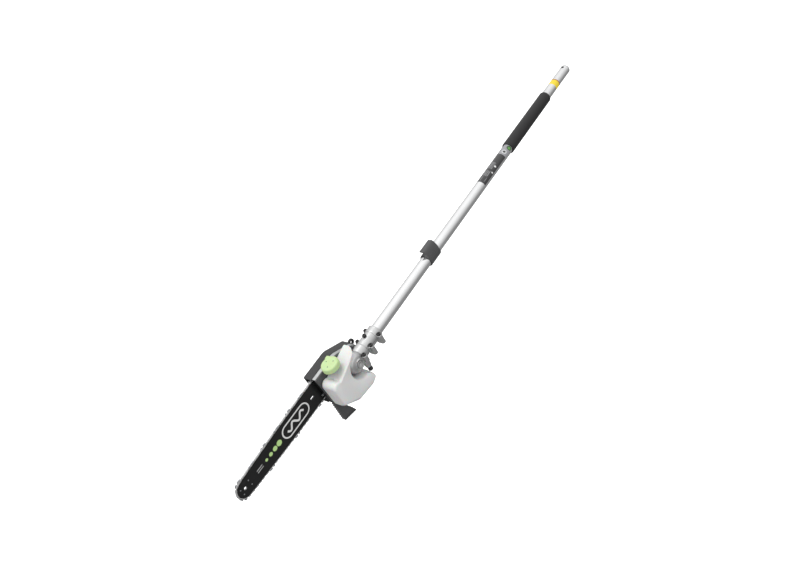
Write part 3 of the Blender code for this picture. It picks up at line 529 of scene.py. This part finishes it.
def make_pole():
    """Drawn tube with its button hole, the bushing in its mouth, the foam grip and the printed label."""
    wall, edge = 0.0015, 0.0005
    start, end, radius = TUBE_LOW.x, TUBE_HIGH.x, TUBE_RADIUS
    stops = np.array([0.005, 0.018, 0.030, 0.20, 0.40, 0.60, 0.80, 0.96])
    rows = [(radius - edge, start), (radius - 0.3 * edge, start + 0.3 * edge), (radius, start + edge)]
    rows += [(radius, x) for x in stops] + [(radius, end), (radius - wall, end)]
    rows += [(radius - wall, x) for x in stops[::-1]] + [(radius - wall, start)]
    tube = piece("pole", [turned("X", (0, 0), rows, 96, ring=True)], "tube", "frame", ["pole_tube"])
    bored(tube, rod("Z", (0.011, 0), 0.004, 0.004, 0.020, 40))

    rows = rectangle(0.0046, 0.0110, 0.0046, 0.0058)
    piece("end_bushing", [turned("X", (0, 0), rows, 48, ring=True)], "black_plastic", "frame")

    low, high, radius = GRIP_LOW.x, GRIP_HIGH.x, GRIP_HIGH.z
    bore, lip = TUBE_RADIUS + 0.0002, 0.0024
    angle = np.linspace(0, np.pi / 2, 7)
    ends = np.stack([radius - lip * (1 - np.cos(angle)), lip * (1 - np.sin(angle))], -1)
    stops = np.linspace(low + 0.01, high - 0.01, 12)
    rows = [(bore, low)] + [(r, low + d) for r, d in ends[::-1]] + [(radius, x) for x in stops]
    rows += [(r, high - d) for r, d in ends] + [(bore, high)]
    grip = piece("grip", [turned("X", (0, 0), rows, 96, ring=True)], "foam", "frame", ["foam_grip"])

    # The label: a thin sheet of foil over the upper +Y side of the tube, its corners on the tube.
    start, end = high + 0.0005, high + 0.141
    inner, outer = TUBE_RADIUS - 0.0001, TUBE_RADIUS + 0.00018
    angle = np.radians(np.linspace(6, 158, 60))
    rows = [placed("X", (radius * np.cos(angle), radius * np.sin(angle)), along)
            for radius, along in ((inner, start), (outer, start), (outer, end), (inner, end))]
    label = grid_shell(np.array(rows).transpose(1, 0, 2))
    piece("pole_label", [label], "black_plastic", "frame", material=label_material(start))


def make_clip():
    """Ring on the tube, drawn up into a hook whose channel opens sideways."""
    low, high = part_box("pole_clip")
    bore, radius = TUBE_RADIUS + 0.0002, -low.z
    edge = 0.0008
    rows = [(bore, low.x + edge), (bore + 0.0004, low.x), (radius - edge, low.x), (radius, low.x + edge)]
    rows += [(radius, high.x - edge), (radius - edge, high.x), (bore + 0.0004, high.x), (bore, high.x - edge)]
    ring = turned("X", (0, 0), rows, 96, ring=True)
    outline = np.concatenate([
        arc((0, 0), radius - 0.0006, 62, 28, 8),
        [(0.0142, 0.0095), (0.0118, 0.0160), (0.0090, 0.0222)],
        [(0.0070, 0.0258), (0.0052, 0.0272), (0.0030, 0.0278)],
        [(-0.0035, 0.0278), (-0.0060, 0.0274), (-0.0074, 0.0262)],
        arc((-0.0010, 0.0195), 0.0044, 118, -118, 20),
        [(-0.0072, 0.0150), (-0.0090, 0.0128)],
        arc((0, 0), radius - 0.0006, 128, 92, 8),
    ])
    hook = slab("X", outline, low.x, high.x, 0.0007, 3)
    piece("tube_clip", [ring, hook], "grey_plastic", "pole_clip", ["pole_clip"])


# --- Gear case --------------------------------------------------------------------------------

OUTPUT = middle("output_shaft")
KNOB = middle("locking_knob")
SCREWS = [name for name in sorted(NODES) if name.startswith("case_screw_")]
SCREW_HEAD = 0.0045


def make_gear_case():
    """Castings melted into one skin by remeshing, so that every lug and neck grows out with a fillet."""
    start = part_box("gear_case_lower")[0].x
    ring, barrel = 0.0165, 0.0154
    profile = [
        (0, start), (ring - 0.0008, start), (ring, start + 0.0008), (ring, start + 0.0150),
        (barrel, start + 0.0156), (barrel, start + 0.0480), (barrel + 0.0008, start + 0.0492),
        (0.0162, start + 0.060), (0.0160, start + 0.075), (0, start + 0.075),
    ]
    dome = [
        (0, -0.0165), (0.0225, -0.0165), (0.0225, 0.0040), (0.0218, 0.0090), (0.0196, 0.0132),
        (0.0165, 0.0160), (0.0130, 0.0175), (0.0112, 0.0178), (0.0109, 0.0203), (0.0092, 0.0205),
        (0.0086, 0.0176),
        (0.0066, 0.0174), (0.0062, 0.0198), (0.0048, 0.0200), (0.0044, 0.0172), (0, 0.0172),
    ]
    shells = [turned("X", (0, 0), profile, 72), turned("Y", (OUTPUT[0], 0), dome, 72)]
    for screw in SCREWS:
        low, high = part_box(screw)
        place, side = (low.x + high.x) / 2, (low.y + high.y) / 2
        top = high.z - SCREW_HEAD - 0.0003
        bottom = -0.019 if place < 1.0 else -0.012
        inner = side - math.copysign(0.010, side)
        outline = np.concatenate([
            arc((place, max(side, inner)), 0.0050, 0, 180, 17),
            arc((place, min(side, inner)), 0.0050, 180, 360, 17),
        ])
        shells.append(slab("Z", outline, bottom, top, 0.0008, 2))
    stem = [(0, -0.036), (0.0052, -0.036), (0.0064, -0.0345), (0.0078, -0.022), (0.0090, -0.008), (0, -0.004)]
    shells.append(turned("Z", KNOB[:2], stem, 32))
    case = piece("gear_case", shells, "casting", "frame", ["gear_case_lower", "gear_case_upper"])
    voxels = {"mode": "VOXEL", "voxel_size": 0.00055}
    applied(case, ("REMESH", voxels), ("SMOOTH", {"factor": 0.5, "iterations": 3}))
    case.data.shade_smooth()
    case.data.materials.clear()
    case.data.materials.append(MATERIALS["casting"])

    # Dark joint lines: between the two halves, and where the barrel's steps meet the castings.
    seams = []
    for place, radius in ((start + 0.0158, barrel + 0.00012), (start + 0.0490, barrel + 0.00045)):
        root = radius - 0.0006
        rows = [(root, place), (radius, place + 0.0001), (radius, place + 0.0006), (root, place + 0.0007)]
        seams.append(turned("X", (0, 0), rows, 72, ring=True))
    for sign in (-1, 1):
        outline = rectangle(start + 0.017, start + 0.066, sign * 0.0150, sign * 0.01555)
        seams.append(slab("Z", outline, -0.0003, 0.0003, 0.0001, 1))
    piece("case_seams", seams, "black_plastic", "frame")


def hexagon(angle):
    """How far a hexagon's edge lies from its centre, as a share of its corners' distance."""
    return np.cos(np.pi / 6) / np.cos(angle % (np.pi / 3) - np.pi / 6)


def make_screws():
    """Socket head screws: a knurled head with a six-sided socket."""
    for name in SCREWS + ["locating_screw"]:
        low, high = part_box(name)
        centre = ((low.x + high.x) / 2, (low.y + high.y) / 2)
        top, head, radius = high.z + 0.0003, high.z - SCREW_HEAD, 0.0041
        profile = [
            (0, top - 0.0024), (0.0019, top - 0.0024), (0.0019, top - 0.0002), (0.0021, top),
            (radius - 0.0005, top), (radius - 0.0001, top - 0.0003), (radius, top - 0.0008),
            (radius, head + 0.0003), (radius - 0.0003, head), (0.0020, head), (0.0020, low.z), (0, low.z),
        ]
        sided, knurled = np.zeros(len(profile)), np.zeros(len(profile))
        sided[1:4], knurled[6:8] = 1, 1

        def lobes(angle):
            knurl = 1 + 0.03 * np.cos(20 * angle)
            return 1 + sided[:, None] * (hexagon(angle) - 1) + knurled[:, None] * (knurl - 1)

        piece(name + "_head", [turned("Z", centre, profile, 80, lobes)], "black_steel", "frame", [name], 25)


def make_knob():
    """Small fluted knob on its stem."""
    low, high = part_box("locking_knob")
    top = low.z + 0.008
    profile = [
        (0, high.z), (0.0022, high.z), (0.0022, top), (0.0040, top), (0.0049, top - 0.0006),
        (0.0050, top - 0.0014), (0.0050, low.z + 0.0016), (0.0046, low.z + 0.0006),
        (0.0036, low.z), (0, low.z),
    ]
    fluted = np.zeros(len(profile))
    fluted[3:9] = 1

    def lobes(angle):
        return 1 + fluted[:, None] * 0.06 * np.cos(10 * angle)

    shell = turned("Z", KNOB[:2], profile, 80, lobes)
    piece("knob", [shell], "black_plastic", "locking_knob", ["locking_knob"])


# --- Head -------------------------------------------------------------------------------------


def cover_outline(inset, front):
    """The cover's outline: square at the front, drawn in to a blunt rear end."""
    half = 0.036 - inset
    corners = [(front, half, 0.0015), (1.040 + inset / 3, half, 0.031), (0.989 + inset, 0.0115, 0.010)]
    return rounded(corners + [(u, -v, r) for u, v, r in corners[::-1]], 14)


def make_cover():
    """Moulded shell: a wall band round the edge, an outer plate, a bearing pad and the hanging eye."""
    low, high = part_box("sprocket_cover")
    wall, front = 0.0025, high.x
    outer, inner = cover_outline(0, front), cover_outline(wall, front + 0.02)
    rounding = edge_rows(low.y, high.y, 0.0022, 5)[:6]
    rows = [placed("Y", grown(outer, -inset).T, place) for place, inset in rounding]
    rows += [placed("Y", outer.T, high.y - 0.0006), placed("Y", grown(outer, -0.0006).T, high.y)]
    shell = grid_shell(np.array(rows))
    cover = piece("cover_shell", [shell], "black_plastic", "sprocket_cover", ["sprocket_cover"])
    stud = middle("cover_nut")[[0, 2]]
    stud_room = 0.0048
    hollow = slab("Y", inner, low.y + wall, high.y + 0.01, 0.0012, 3)
    bored(cover, hollow, rod("Y", stud, stud_room, low.y - 0.01, low.y + 0.01, 32))

    eye, hole, rim, lug_low = (0.988, 0.010), 0.0031, 0.0074, high.y - 0.0045
    rows = [(hole, lug_low), (hole, high.y - 0.0004), (0.0035, high.y), (0.0066, high.y),
            (rim, high.y - 0.0008), (rim, lug_low)]
    lug = turned("Y", eye, rows, 48, ring=True)
    tie = [(0.9895, 0.0035), (1.0000, 0.0060), (1.0000, 0.0150), (0.9930, 0.0135)]
    tie = slab("Y", tie, lug_low, high.y, 0.0006)
    press = rounded([(u, v, 0.003) for u, v in rectangle(1.052, 1.098, -0.008, 0.014)])
    press = slab("Y", press, low.y + 0.0005, middle("guide_bar")[1] - 0.0025, 0.0004)
    pad = piece("cover_pad", [press], "black_plastic", "sprocket_cover")
    bored(pad, rod("Y", stud, stud_room, low.y - 0.01, low.y + 0.03, 32))
    piece("cover_eye", [lug, tie], "black_plastic", "sprocket_cover")


def make_nut():
    """Hexagon nut with a round flange."""
    low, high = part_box("cover_nut")
    face = high.y - 0.0019
    profile = [
        (0.0043, low.y + 0.0004), (0.0048, low.y), (0.0068, low.y), (0.0075, low.y + 0.0010),
        (0.0075, face - 0.0002), (0.0075, face), (0.0084, face), (0.0092, face + 0.0006),
        (0.0092, high.y), (0.0043, high.y),
    ]
    sided = np.zeros(len(profile))
    sided[3:6] = 1

    def lobes(angle):
        return 1 + sided[:, None] * (hexagon(angle) - 1)

    nut = turned("Y", middle("cover_nut")[[0, 2]], profile, 96, lobes, ring=True)
    piece("flange_nut", [nut], "steel", "cover_nut", ["cover_nut"], 25)


def make_hook():
    """Plate with a spiked hook: a thick rim round a sunk web, and a hollow pointed end."""
    low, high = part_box("branch_hook")
    outline = rounded([
        (1.1055, 0.0365, 0.003), (1.044, 0.0365, 0.034), (0.9985, 0.0170, 0.006), (0.9985, -0.0200, 0.006),
        (1.0200, -0.0380, 0.012), (1.0450, -0.0500, 0.020), (1.0860, -0.0640, 0.006),
        (1.0780, -0.0830, 0.020), (1.0730, -0.0990, 0.0012), (1.1072, -0.0905, 0.0025),
        (1.1052, -0.0830, 0.001), (1.1030, -0.0361, 0.001),
    ], 10)
    plate = slab("Y", outline, low.y, high.y, 0.00025, 1)
    hook = piece("hook", [plate], "grey_plastic", "frame", ["branch_hook"])
    x = OUTPUT[0]
    room = rod("Y", (x, 0), 0.0228, -0.05, 0.02, 72)
    neck = slab("Y", rectangle(0.98, x, -0.0107, 0.0107), -0.05, 0.02, 0.0001, 1)
    # The web: sunk on both faces inside the hook's lower limb.
    sunk = 0.0011
    web = rounded([(1.1015, -0.0640, 0.002), (1.0900, -0.0660, 0.002), (1.0822, -0.0830, 0.014),
                   (1.0790, -0.0935, 0.001), (1.1035, -0.0880, 0.002)], 8)
    near = slab("Y", web, high.y - sunk, high.y + 0.01, 0.0003, 2)
    far = slab("Y", web, low.y - 0.01, low.y + sunk, 0.0003, 2)
    bored(hook, room, neck, near, far)

    teeth = []
    for step in np.linspace(0, 1, 9):
        tip, height = 1.1062 + 0.0022 * step, -0.0385 - 0.0455 * step
        foot, above, below = tip - 0.0034, height + 0.0024, height - 0.0033
        outline = [(foot - 0.004, above), (foot - 0.004, below), (foot, below), (tip, height), (foot, above)]
        teeth.append(slab("Y", outline, low.y - 0.0030, high.y + 0.0005, 0.0002, 1))
    piece("hook_teeth", teeth, "grey_plastic", "frame")


# --- Tank and cap -----------------------------------------------------------------------------

TANK_TOP = 0.0370


def tank_outline(inset, share):
    """C shape round the gear case: share goes from 0, the tall inner side, to 1, the small outer side."""
    top = TANK_TOP - inset
    radius = 0.0272 + 0.0028 * share + 0.6 * inset
    reach = 92 - 2000 * inset
    upper = min(reach, math.degrees(math.asin(min(1, (top - 0.0012 - 0.0040 * share) / radius))))
    notch = arc((OUTPUT[0], 0), radius, -reach, upper, 40)
    front = 1.1030 - inset
    corners = [
        (front, top, 0.012 - inset / 2),
        (front, -0.0400 + 0.0100 * share + inset / 2, 0.012 - inset / 2),
        (1.0660, -0.0700 + 0.0190 * share + inset, 0.018 - inset),
        (1.0190 + 0.0060 * share, -0.0750 + 0.0180 * share + inset, 0.013 - 0.004 * share - 0.8 * inset),
        (1.0045 + 0.0060 * share + inset, -0.0560 + 0.0050 * share, 0.007 - 0.0015 * share - 0.6 * inset),
        (1.0120 + 0.0030 * share + inset, -0.0390 - inset, 0.007 - 0.0015 * share - 0.6 * inset),
    ]
    tip = (1.0130 + 0.0150 * share + 3 * inset, top - 0.0004)
    return np.concatenate([rounded(corners, 12), notch, [tip]])


def make_tank():
    """Blow-moulded tank: its outline changes evenly from side to side, and its edges are quarter circles."""
    low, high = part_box("oil_tank")
    place = np.linspace(0, 1, 24)
    share = np.interp(place, (0, 0.40, 0.63, 0.82, 0.93, 1), (0, 0, 0.25, 0.65, 0.92, 1))
    near_edge, far_edge = 0.0046, 0.0022
    depth = high.y - low.y
    rows = [(high.y - 0.0018, 0.0016, 0.97), (high.y - 0.0008, 0.0026, 0.99)]
    rows += [(low.y + 0.0010, 0.0003, 0), (low.y + 0.0004, 0.0009, 0)]
    for y, s in zip(low.y + depth * place, share):
        near = max(0.0, 1 - (high.y - y) / near_edge)
        far = max(0.0, 1 - (y - low.y) / far_edge)
        inset = near_edge * (1 - math.sqrt(1 - near * near)) + far_edge * (1 - math.sqrt(1 - far * far))
        rows.append((y, min(inset, near_edge * 0.98), s))
    body = grid_shell(np.array([placed("Y", tank_outline(inset, s).T, y) for y, inset, s in sorted(rows)]))
    piece("tank", [body], "tank_plastic", "frame", ["oil_tank"], 40)

    foot, inner, outer = TANK_TOP - 0.003, 0.0110, 0.0137
    rows = [(inner, foot), (inner, high.z - 0.0003), (0.0113, high.z), (0.0134, high.z),
            (outer, high.z - 0.0003), (outer, foot)]
    piece("tank_neck", [turned("Z", middle("oil_cap")[:2], rows, 64, ring=True)], "tank_plastic", "frame")


def make_cap():
    """Domed cap with fine ribs round its skirt, a lug on its far rim and three dots."""
    low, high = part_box("oil_cap")
    centre = (1.068, 0.001)
    radius, top, room = 0.0185, high.z, 0.0143
    dome = [
        (0, top - 0.0004), (0.0060, top - 0.0004), (0.0100, top - 0.0003), (0.0118, top),
        (0.0148, top - 0.0001), (0.0168, top - 0.0006), (0.0179, top - 0.0016),
        (radius - 0.0002, top - 0.0030), (radius, top - 0.0042), (radius, top - 0.0065),
        (radius, low.z + 0.0006), (radius - 0.0005, low.z), (room, low.z),
        (room, top - 0.002), (0, top - 0.002),
    ]
    ribbed = np.zeros(len(dome))
    ribbed[8:11] = 1

    def lobes(angle):
        return 1 - ribbed[:, None] * 0.022 * (0.5 - 0.5 * np.cos(48 * angle)) ** 2

    lug = rounded([(1.0515, -0.0215, 0.0018), (1.0590, -0.0215, 0.0018), (1.0600, -0.0125, 0),
                   (1.0505, -0.0105, 0)])
    lug = slab("Z", lug, low.z + 0.002, low.z + 0.008, 0.0008)
    dots = []
    for a in np.radians([20, 140, 260]):
        dot = arc((centre[0] + 0.0090 * math.cos(a), centre[1] + 0.0090 * math.sin(a)), 0.0011, 0, 330, 12)
        dots.append(slab("Z", dot, top - 0.0010, top - 0.00005, 0.0001, 1))
    piece("cap_dots", dots, "grey_plastic", "oil_cap")
    piece("cap", [turned("Z", centre, dome, 288, lobes), lug], "lime_plastic", "oil_cap", ["oil_cap"], 45)


# --- Bar and chain ----------------------------------------------------------------------------

BAR_LOW, BAR_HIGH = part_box("guide_bar")
BAR_Y = (BAR_LOW.y + BAR_HIGH.y) / 2
BAR_Z = (BAR_LOW.z + BAR_HIGH.z) / 2
TAIL_X, BELLY_X, NOSE_X = 1.046, 1.110, 1.327
TAIL_HALF, BELLY_HALF, NOSE_RADIUS = 0.0165, 0.0250, 0.0182
CHAIN_PITCH = 0.0381


def bar_half(x):
    """Half the bar's width: a quick swell out of the tail, then an even taper to the nose."""
    swell = TAIL_HALF + 0.0085 * np.sin(np.clip((x - TAIL_X) / 0.064, 0, 1) * np.pi / 2)
    share = np.clip((x - BELLY_X) / (NOSE_X - BELLY_X), 0, 1)
    taper = BELLY_HALF + (NOSE_RADIUS - BELLY_HALF) * (1 - np.cos(share * np.pi / 2))
    return np.where(x < BELLY_X, swell, taper)


def chain_path(out):
    """The chain's path grown by out: along the top, round the nose, back and round the sprocket."""
    x = np.linspace(1.056, NOSE_X, 160)
    top = np.stack([x, BAR_Z + bar_half(x) + out], -1)[:-1]
    under = np.stack([x, BAR_Z - bar_half(x) - out], -1)[:-1][::-1]
    nose = arc((NOSE_X, BAR_Z), NOSE_RADIUS + out, 90, -90, 60)
    rear = arc((OUTPUT[0], BAR_Z), 0.0175 + out, 270, 90, 60)
    return np.concatenate([top, nose, under, rear])


def make_chain():
    """Links set out at equal pitch along the path: each is a flat outline bent by the path it lies on."""
    base, over = chain_path(0.0004), chain_path(0.0014)
    length = np.concatenate([[0], np.cumsum(np.linalg.norm(np.roll(base, -1, 0) - base, axis=1))])
    loop = np.concatenate([base, base[:1]])
    outwards = np.concatenate([over, over[:1]]) - loop
    outwards /= np.linalg.norm(outwards, axis=1, keepdims=True)
    count = 4 * round(length[-1] / CHAIN_PITCH)
    pitch = length[-1] / count

    def bent(outline, along):
        """(along, out) points carried onto the path."""
        at = (outline[:, 0] + along) % length[-1]
        foot = np.stack([np.interp(at, length, loop[:, k]) for k in (0, 1)], -1)
        way = np.stack([np.interp(at, length, outwards[:, k]) for k in (0, 1)], -1)
        return foot + way * outline[:, 1:2]

    def link(outline, along, low, high, edge=0.00012):
        return slab("Y", bent(np.asarray(outline), along), low, high, edge, 1)

    height = 0.0046
    reach = pitch * 0.93
    strap = rounded([(-reach, 0.0001, 0.0009), (-reach, 0.0030, 0.0013), (-0.0008, 0.0018, 0.002),
                     (0.0008, 0.0018, 0.002), (reach, 0.0030, 0.0013), (reach, 0.0001, 0.0009)], 3)
    drive = rounded([(-reach, 0.0002, 0.0008), (-reach, 0.0026, 0.0012),
                     (reach, 0.0026, 0.0012), (reach, 0.0002, 0.0008)], 3)
    gauge = rounded([(0.0024, 0.0025, 0), (0.0032, 0.0041, 0.0004), (0.0056, 0.0043, 0.0006),
                     (0.0074, 0.0032, 0.001), (0.0078, 0.0010, 0.0006), (0.0024, 0.0005, 0)], 2)
    plate = rounded([(-0.0080, 0.0020, 0.0005), (-0.0078, 0.0037, 0.0004), (0.0004, height - 0.00005, 0.0003),
                     (0.0002, 0.0034, 0.0004), (-0.0015, 0.0012, 0.0006)], 2)
    roof = np.array([(-0.0078, 0.0032), (-0.0077, 0.0038), (0.0003, height - 0.00002), (0.0003, 0.0040)])
    rivet = arc((0, 0), 0.0011, 0, 315, 8) + np.array([0, 0.0016])
    thick = 0.0011
    middles, sides, cutters, rivets = [], [], [], []
    for k in range(count):
        along = k * pitch
        rivets.append(link(rivet, along + pitch / 2, BAR_Y - 0.0022, BAR_Y + 0.0022, 0.0002))
        if k % 2 == 0:
            middles.append(link(drive, along, BAR_Y - 0.00065, BAR_Y + 0.00065))
            continue
        for side in (1, -1):
            low = BAR_Y + (0.0008 if side > 0 else -0.0008 - thick)
            sides.append(link(strap, along, low, low + thick))
            # Cutters come at every second side link, on alternate sides of the chain.
            if k % 4 == 1 and side == (1 if k % 8 == 1 else -1):
                proud = low + side * 0.00012
                cutters.append(link(gauge, along, proud, proud + thick))
                cutters.append(link(plate, along, proud, proud + thick))
                ends = sorted((BAR_Y - side * 0.0002, BAR_Y + side * 0.0025))
                cutters.append(link(roof, along, *ends, 0.0001))
    piece("chain_drive_links", middles, "chain_steel", "guide_bar", ["saw_chain"])
    piece("chain_side_links", sides, "chain_steel", "guide_bar")
    piece("chain_cutters", cutters, "steel", "guide_bar")
    piece("chain_rivets", rivets, "steel", "guide_bar")


def make_print():
    """Painted marks on both faces of the bar: a framed wave, a row of discs and two fine lines."""
    corners = rectangle(1.1400, 1.2150, BAR_Z - 0.0135, BAR_Z + 0.0135)
    capsule = rounded([(u, v, 0.0133) for u, v in corners], 14)
    start, length = 1.1530, 0.0500
    x = np.linspace(start, 1.2030, 60)
    wave = np.stack([x, BAR_Z + 0.0056 * np.sin((x - start) / length * 2 * TURN)], -1)
    ink = 0.00006
    for side, face in (("near", BAR_HIGH.y), ("far", BAR_LOW.y)):
        low, high = face - ink, face + ink
        white = [ribbon("Y", capsule, 0.0030, low, high), ribbon("Y", wave, 0.0042, low, high, closed=False)]
        for foot in (BAR_Z - 0.0030, BAR_Z + 0.0018):
            white.append(slab("Y", rectangle(1.278, 1.2935, foot, foot + 0.0011), low, high, 0.00002, 1))
        green = []
        for k in range(4):
            disc = arc((1.2290 + 0.0125 * k, BAR_Z), 0.0062 - 0.0010 * k, 0, 352, 44)
            green.append(slab("Y", disc, low, high, 0.00002, 1))
        piece(f"bar_marks_{side}", white, "bar_paint", "guide_bar", material=MATERIALS["white_print"])
        piece(f"bar_discs_{side}", green, "bar_paint", "guide_bar", material=MATERIALS["green_print"])

    spread, proud, tip, shank = 0.0125, 0.00015, 0.0011, 0.0014
    profile = [(0, BAR_LOW.y - proud), (tip, BAR_LOW.y - proud), (shank, BAR_LOW.y), (shank, BAR_HIGH.y),
               (tip, BAR_HIGH.y + proud), (0, BAR_HIGH.y + proud)]
    rivets = []
    for angle in np.radians([30, 150, 210, 330]):
        centre = (NOSE_X + spread * math.cos(angle) - 0.002, BAR_Z + spread * math.sin(angle))
        rivets.append(turned("Y", centre, profile, 20))
    piece("nose_rivets", rivets, "steel", "guide_bar")


make_pole()
make_clip()
make_gear_case()
make_screws()
make_knob()
make_cover()
make_nut()
make_hook()
make_tank()
make_cap()
make_chain()
make_print()


# --- Studio -----------------------------------------------------------------------------------


def make_world():
    """White where the camera sees it. For all other light, a gradient from a dim side to a bright one."""
    world = bpy.data.worlds.new("studio")
    world.use_nodes = True
    bpy.context.scene.world = world
    make = Maker(world.node_tree)
    background = world.node_tree.nodes["Background"]
    output = world.node_tree.nodes["World Output"]
    direction = make("ShaderNodeTexCoord").outputs["Generated"]
    background.inputs["Color"].default_value = (1, 1, 1, 1)

    def gradient(towards, first, last, dim, bright):
        dot = make("ShaderNodeVectorMath", {0: direction, 1: towards}, operation="DOT_PRODUCT")
        share = dot.outputs["Value"]
        values = {"Value": share, "From Min": first, "From Max": last, "To Min": dim, "To Max": bright}
        return make("ShaderNodeMapRange", values).outputs[0]

    rays = make("ShaderNodeLightPath").outputs
    fill = gradient((0.14, 0.26, 0.955), -1.0, 1.0, 0.40, 1.12)
    gloss = gradient((0.10, -0.05, 0.99), -0.45, 0.85, 0.30, 1.32)
    world.node_tree.links.new(make.blend(rays["Is Glossy Ray"], fill, gloss), background.inputs["Strength"])
    seen = make("ShaderNodeBackground", {"Color": (1, 1, 1, 1), "Strength": 1.0})
    both = make("ShaderNodeMixShader")
    links = world.node_tree.links
    links.new(rays["Is Camera Ray"], both.inputs[0])
    links.new(background.outputs[0], both.inputs[1])
    links.new(seen.outputs[0], both.inputs[2])
    links.new(both.outputs[0], output.inputs["Surface"])


def area_light(name, place, target, size, energy):
    light = bpy.data.lights.new(name, "AREA")
    light.shape, light.size, light.energy = "DISK", size, energy
    obj = bpy.data.objects.new(name, light)
    obj.location = place
    way = Vector(target) - Vector(place)
    obj.rotation_euler = way.to_track_quat("-Z", "Y").to_euler()
    bpy.context.scene.collection.objects.link(obj)


def make_floor():
    """Plain pale floor well below the tool."""
    mesh = bpy.data.meshes.new("floor")
    span, height = 40.0, CAD_LOW[2] - 0.45
    corners = [(*corner, height) for corner in rectangle(-span, span, -span, span)]
    mesh.from_pydata(corners, [], [(0, 1, 2, 3)])
    floor = bpy.data.objects.new("floor", mesh)
    bpy.context.scene.collection.objects.link(floor)
    material = bpy.data.materials.new("pale_floor")
    material.use_nodes = True
    shader = material.node_tree.nodes["Principled BSDF"]
    make = Maker(material.node_tree)
    speckle = make.noise(make("ShaderNodeTexCoord").outputs["Object"], 3.0, 2.0)
    colour = make.mix(speckle, (0.94, 0.94, 0.94, 1), (0.96, 0.96, 0.96, 1))
    material.node_tree.links.new(colour, shader.inputs["Base Color"])
    shader.inputs["Roughness"].default_value = 0.9
    shader.inputs["Specular IOR Level"].default_value = 0.1
    shader.inputs["Emission Color"].default_value = (1, 1, 1, 1)
    shader.inputs["Emission Strength"].default_value = 0.6
    mesh.materials.append(material)
    floor.visible_diffuse = floor.visible_glossy = False


def make_camera():
    data = bpy.data.cameras.new("camera")
    data.lens, data.sensor_width, data.clip_start = 30.12, 36.0, 0.01
    camera = bpy.data.objects.new("camera", data)
    right, up, back = (-0.5221, 0.7516, -0.4031), (-0.7108, -0.1223, 0.6926), (0.4713, 0.6482, 0.5981)
    turn = Matrix((right, up, back)).transposed().to_4x4()
    camera.matrix_world = Matrix.Translation((1.4849, 0.9004, 0.8549)) @ turn
    bpy.context.scene.collection.objects.link(camera)
    bpy.context.scene.camera = camera


make_world()
area_light("key", (0.9, -0.3, 2.6), (0.9, 0.0, 0.0), 1.2, 20)
make_floor()
make_camera()
bpy.context.scene.view_settings.view_transform = "Standard"
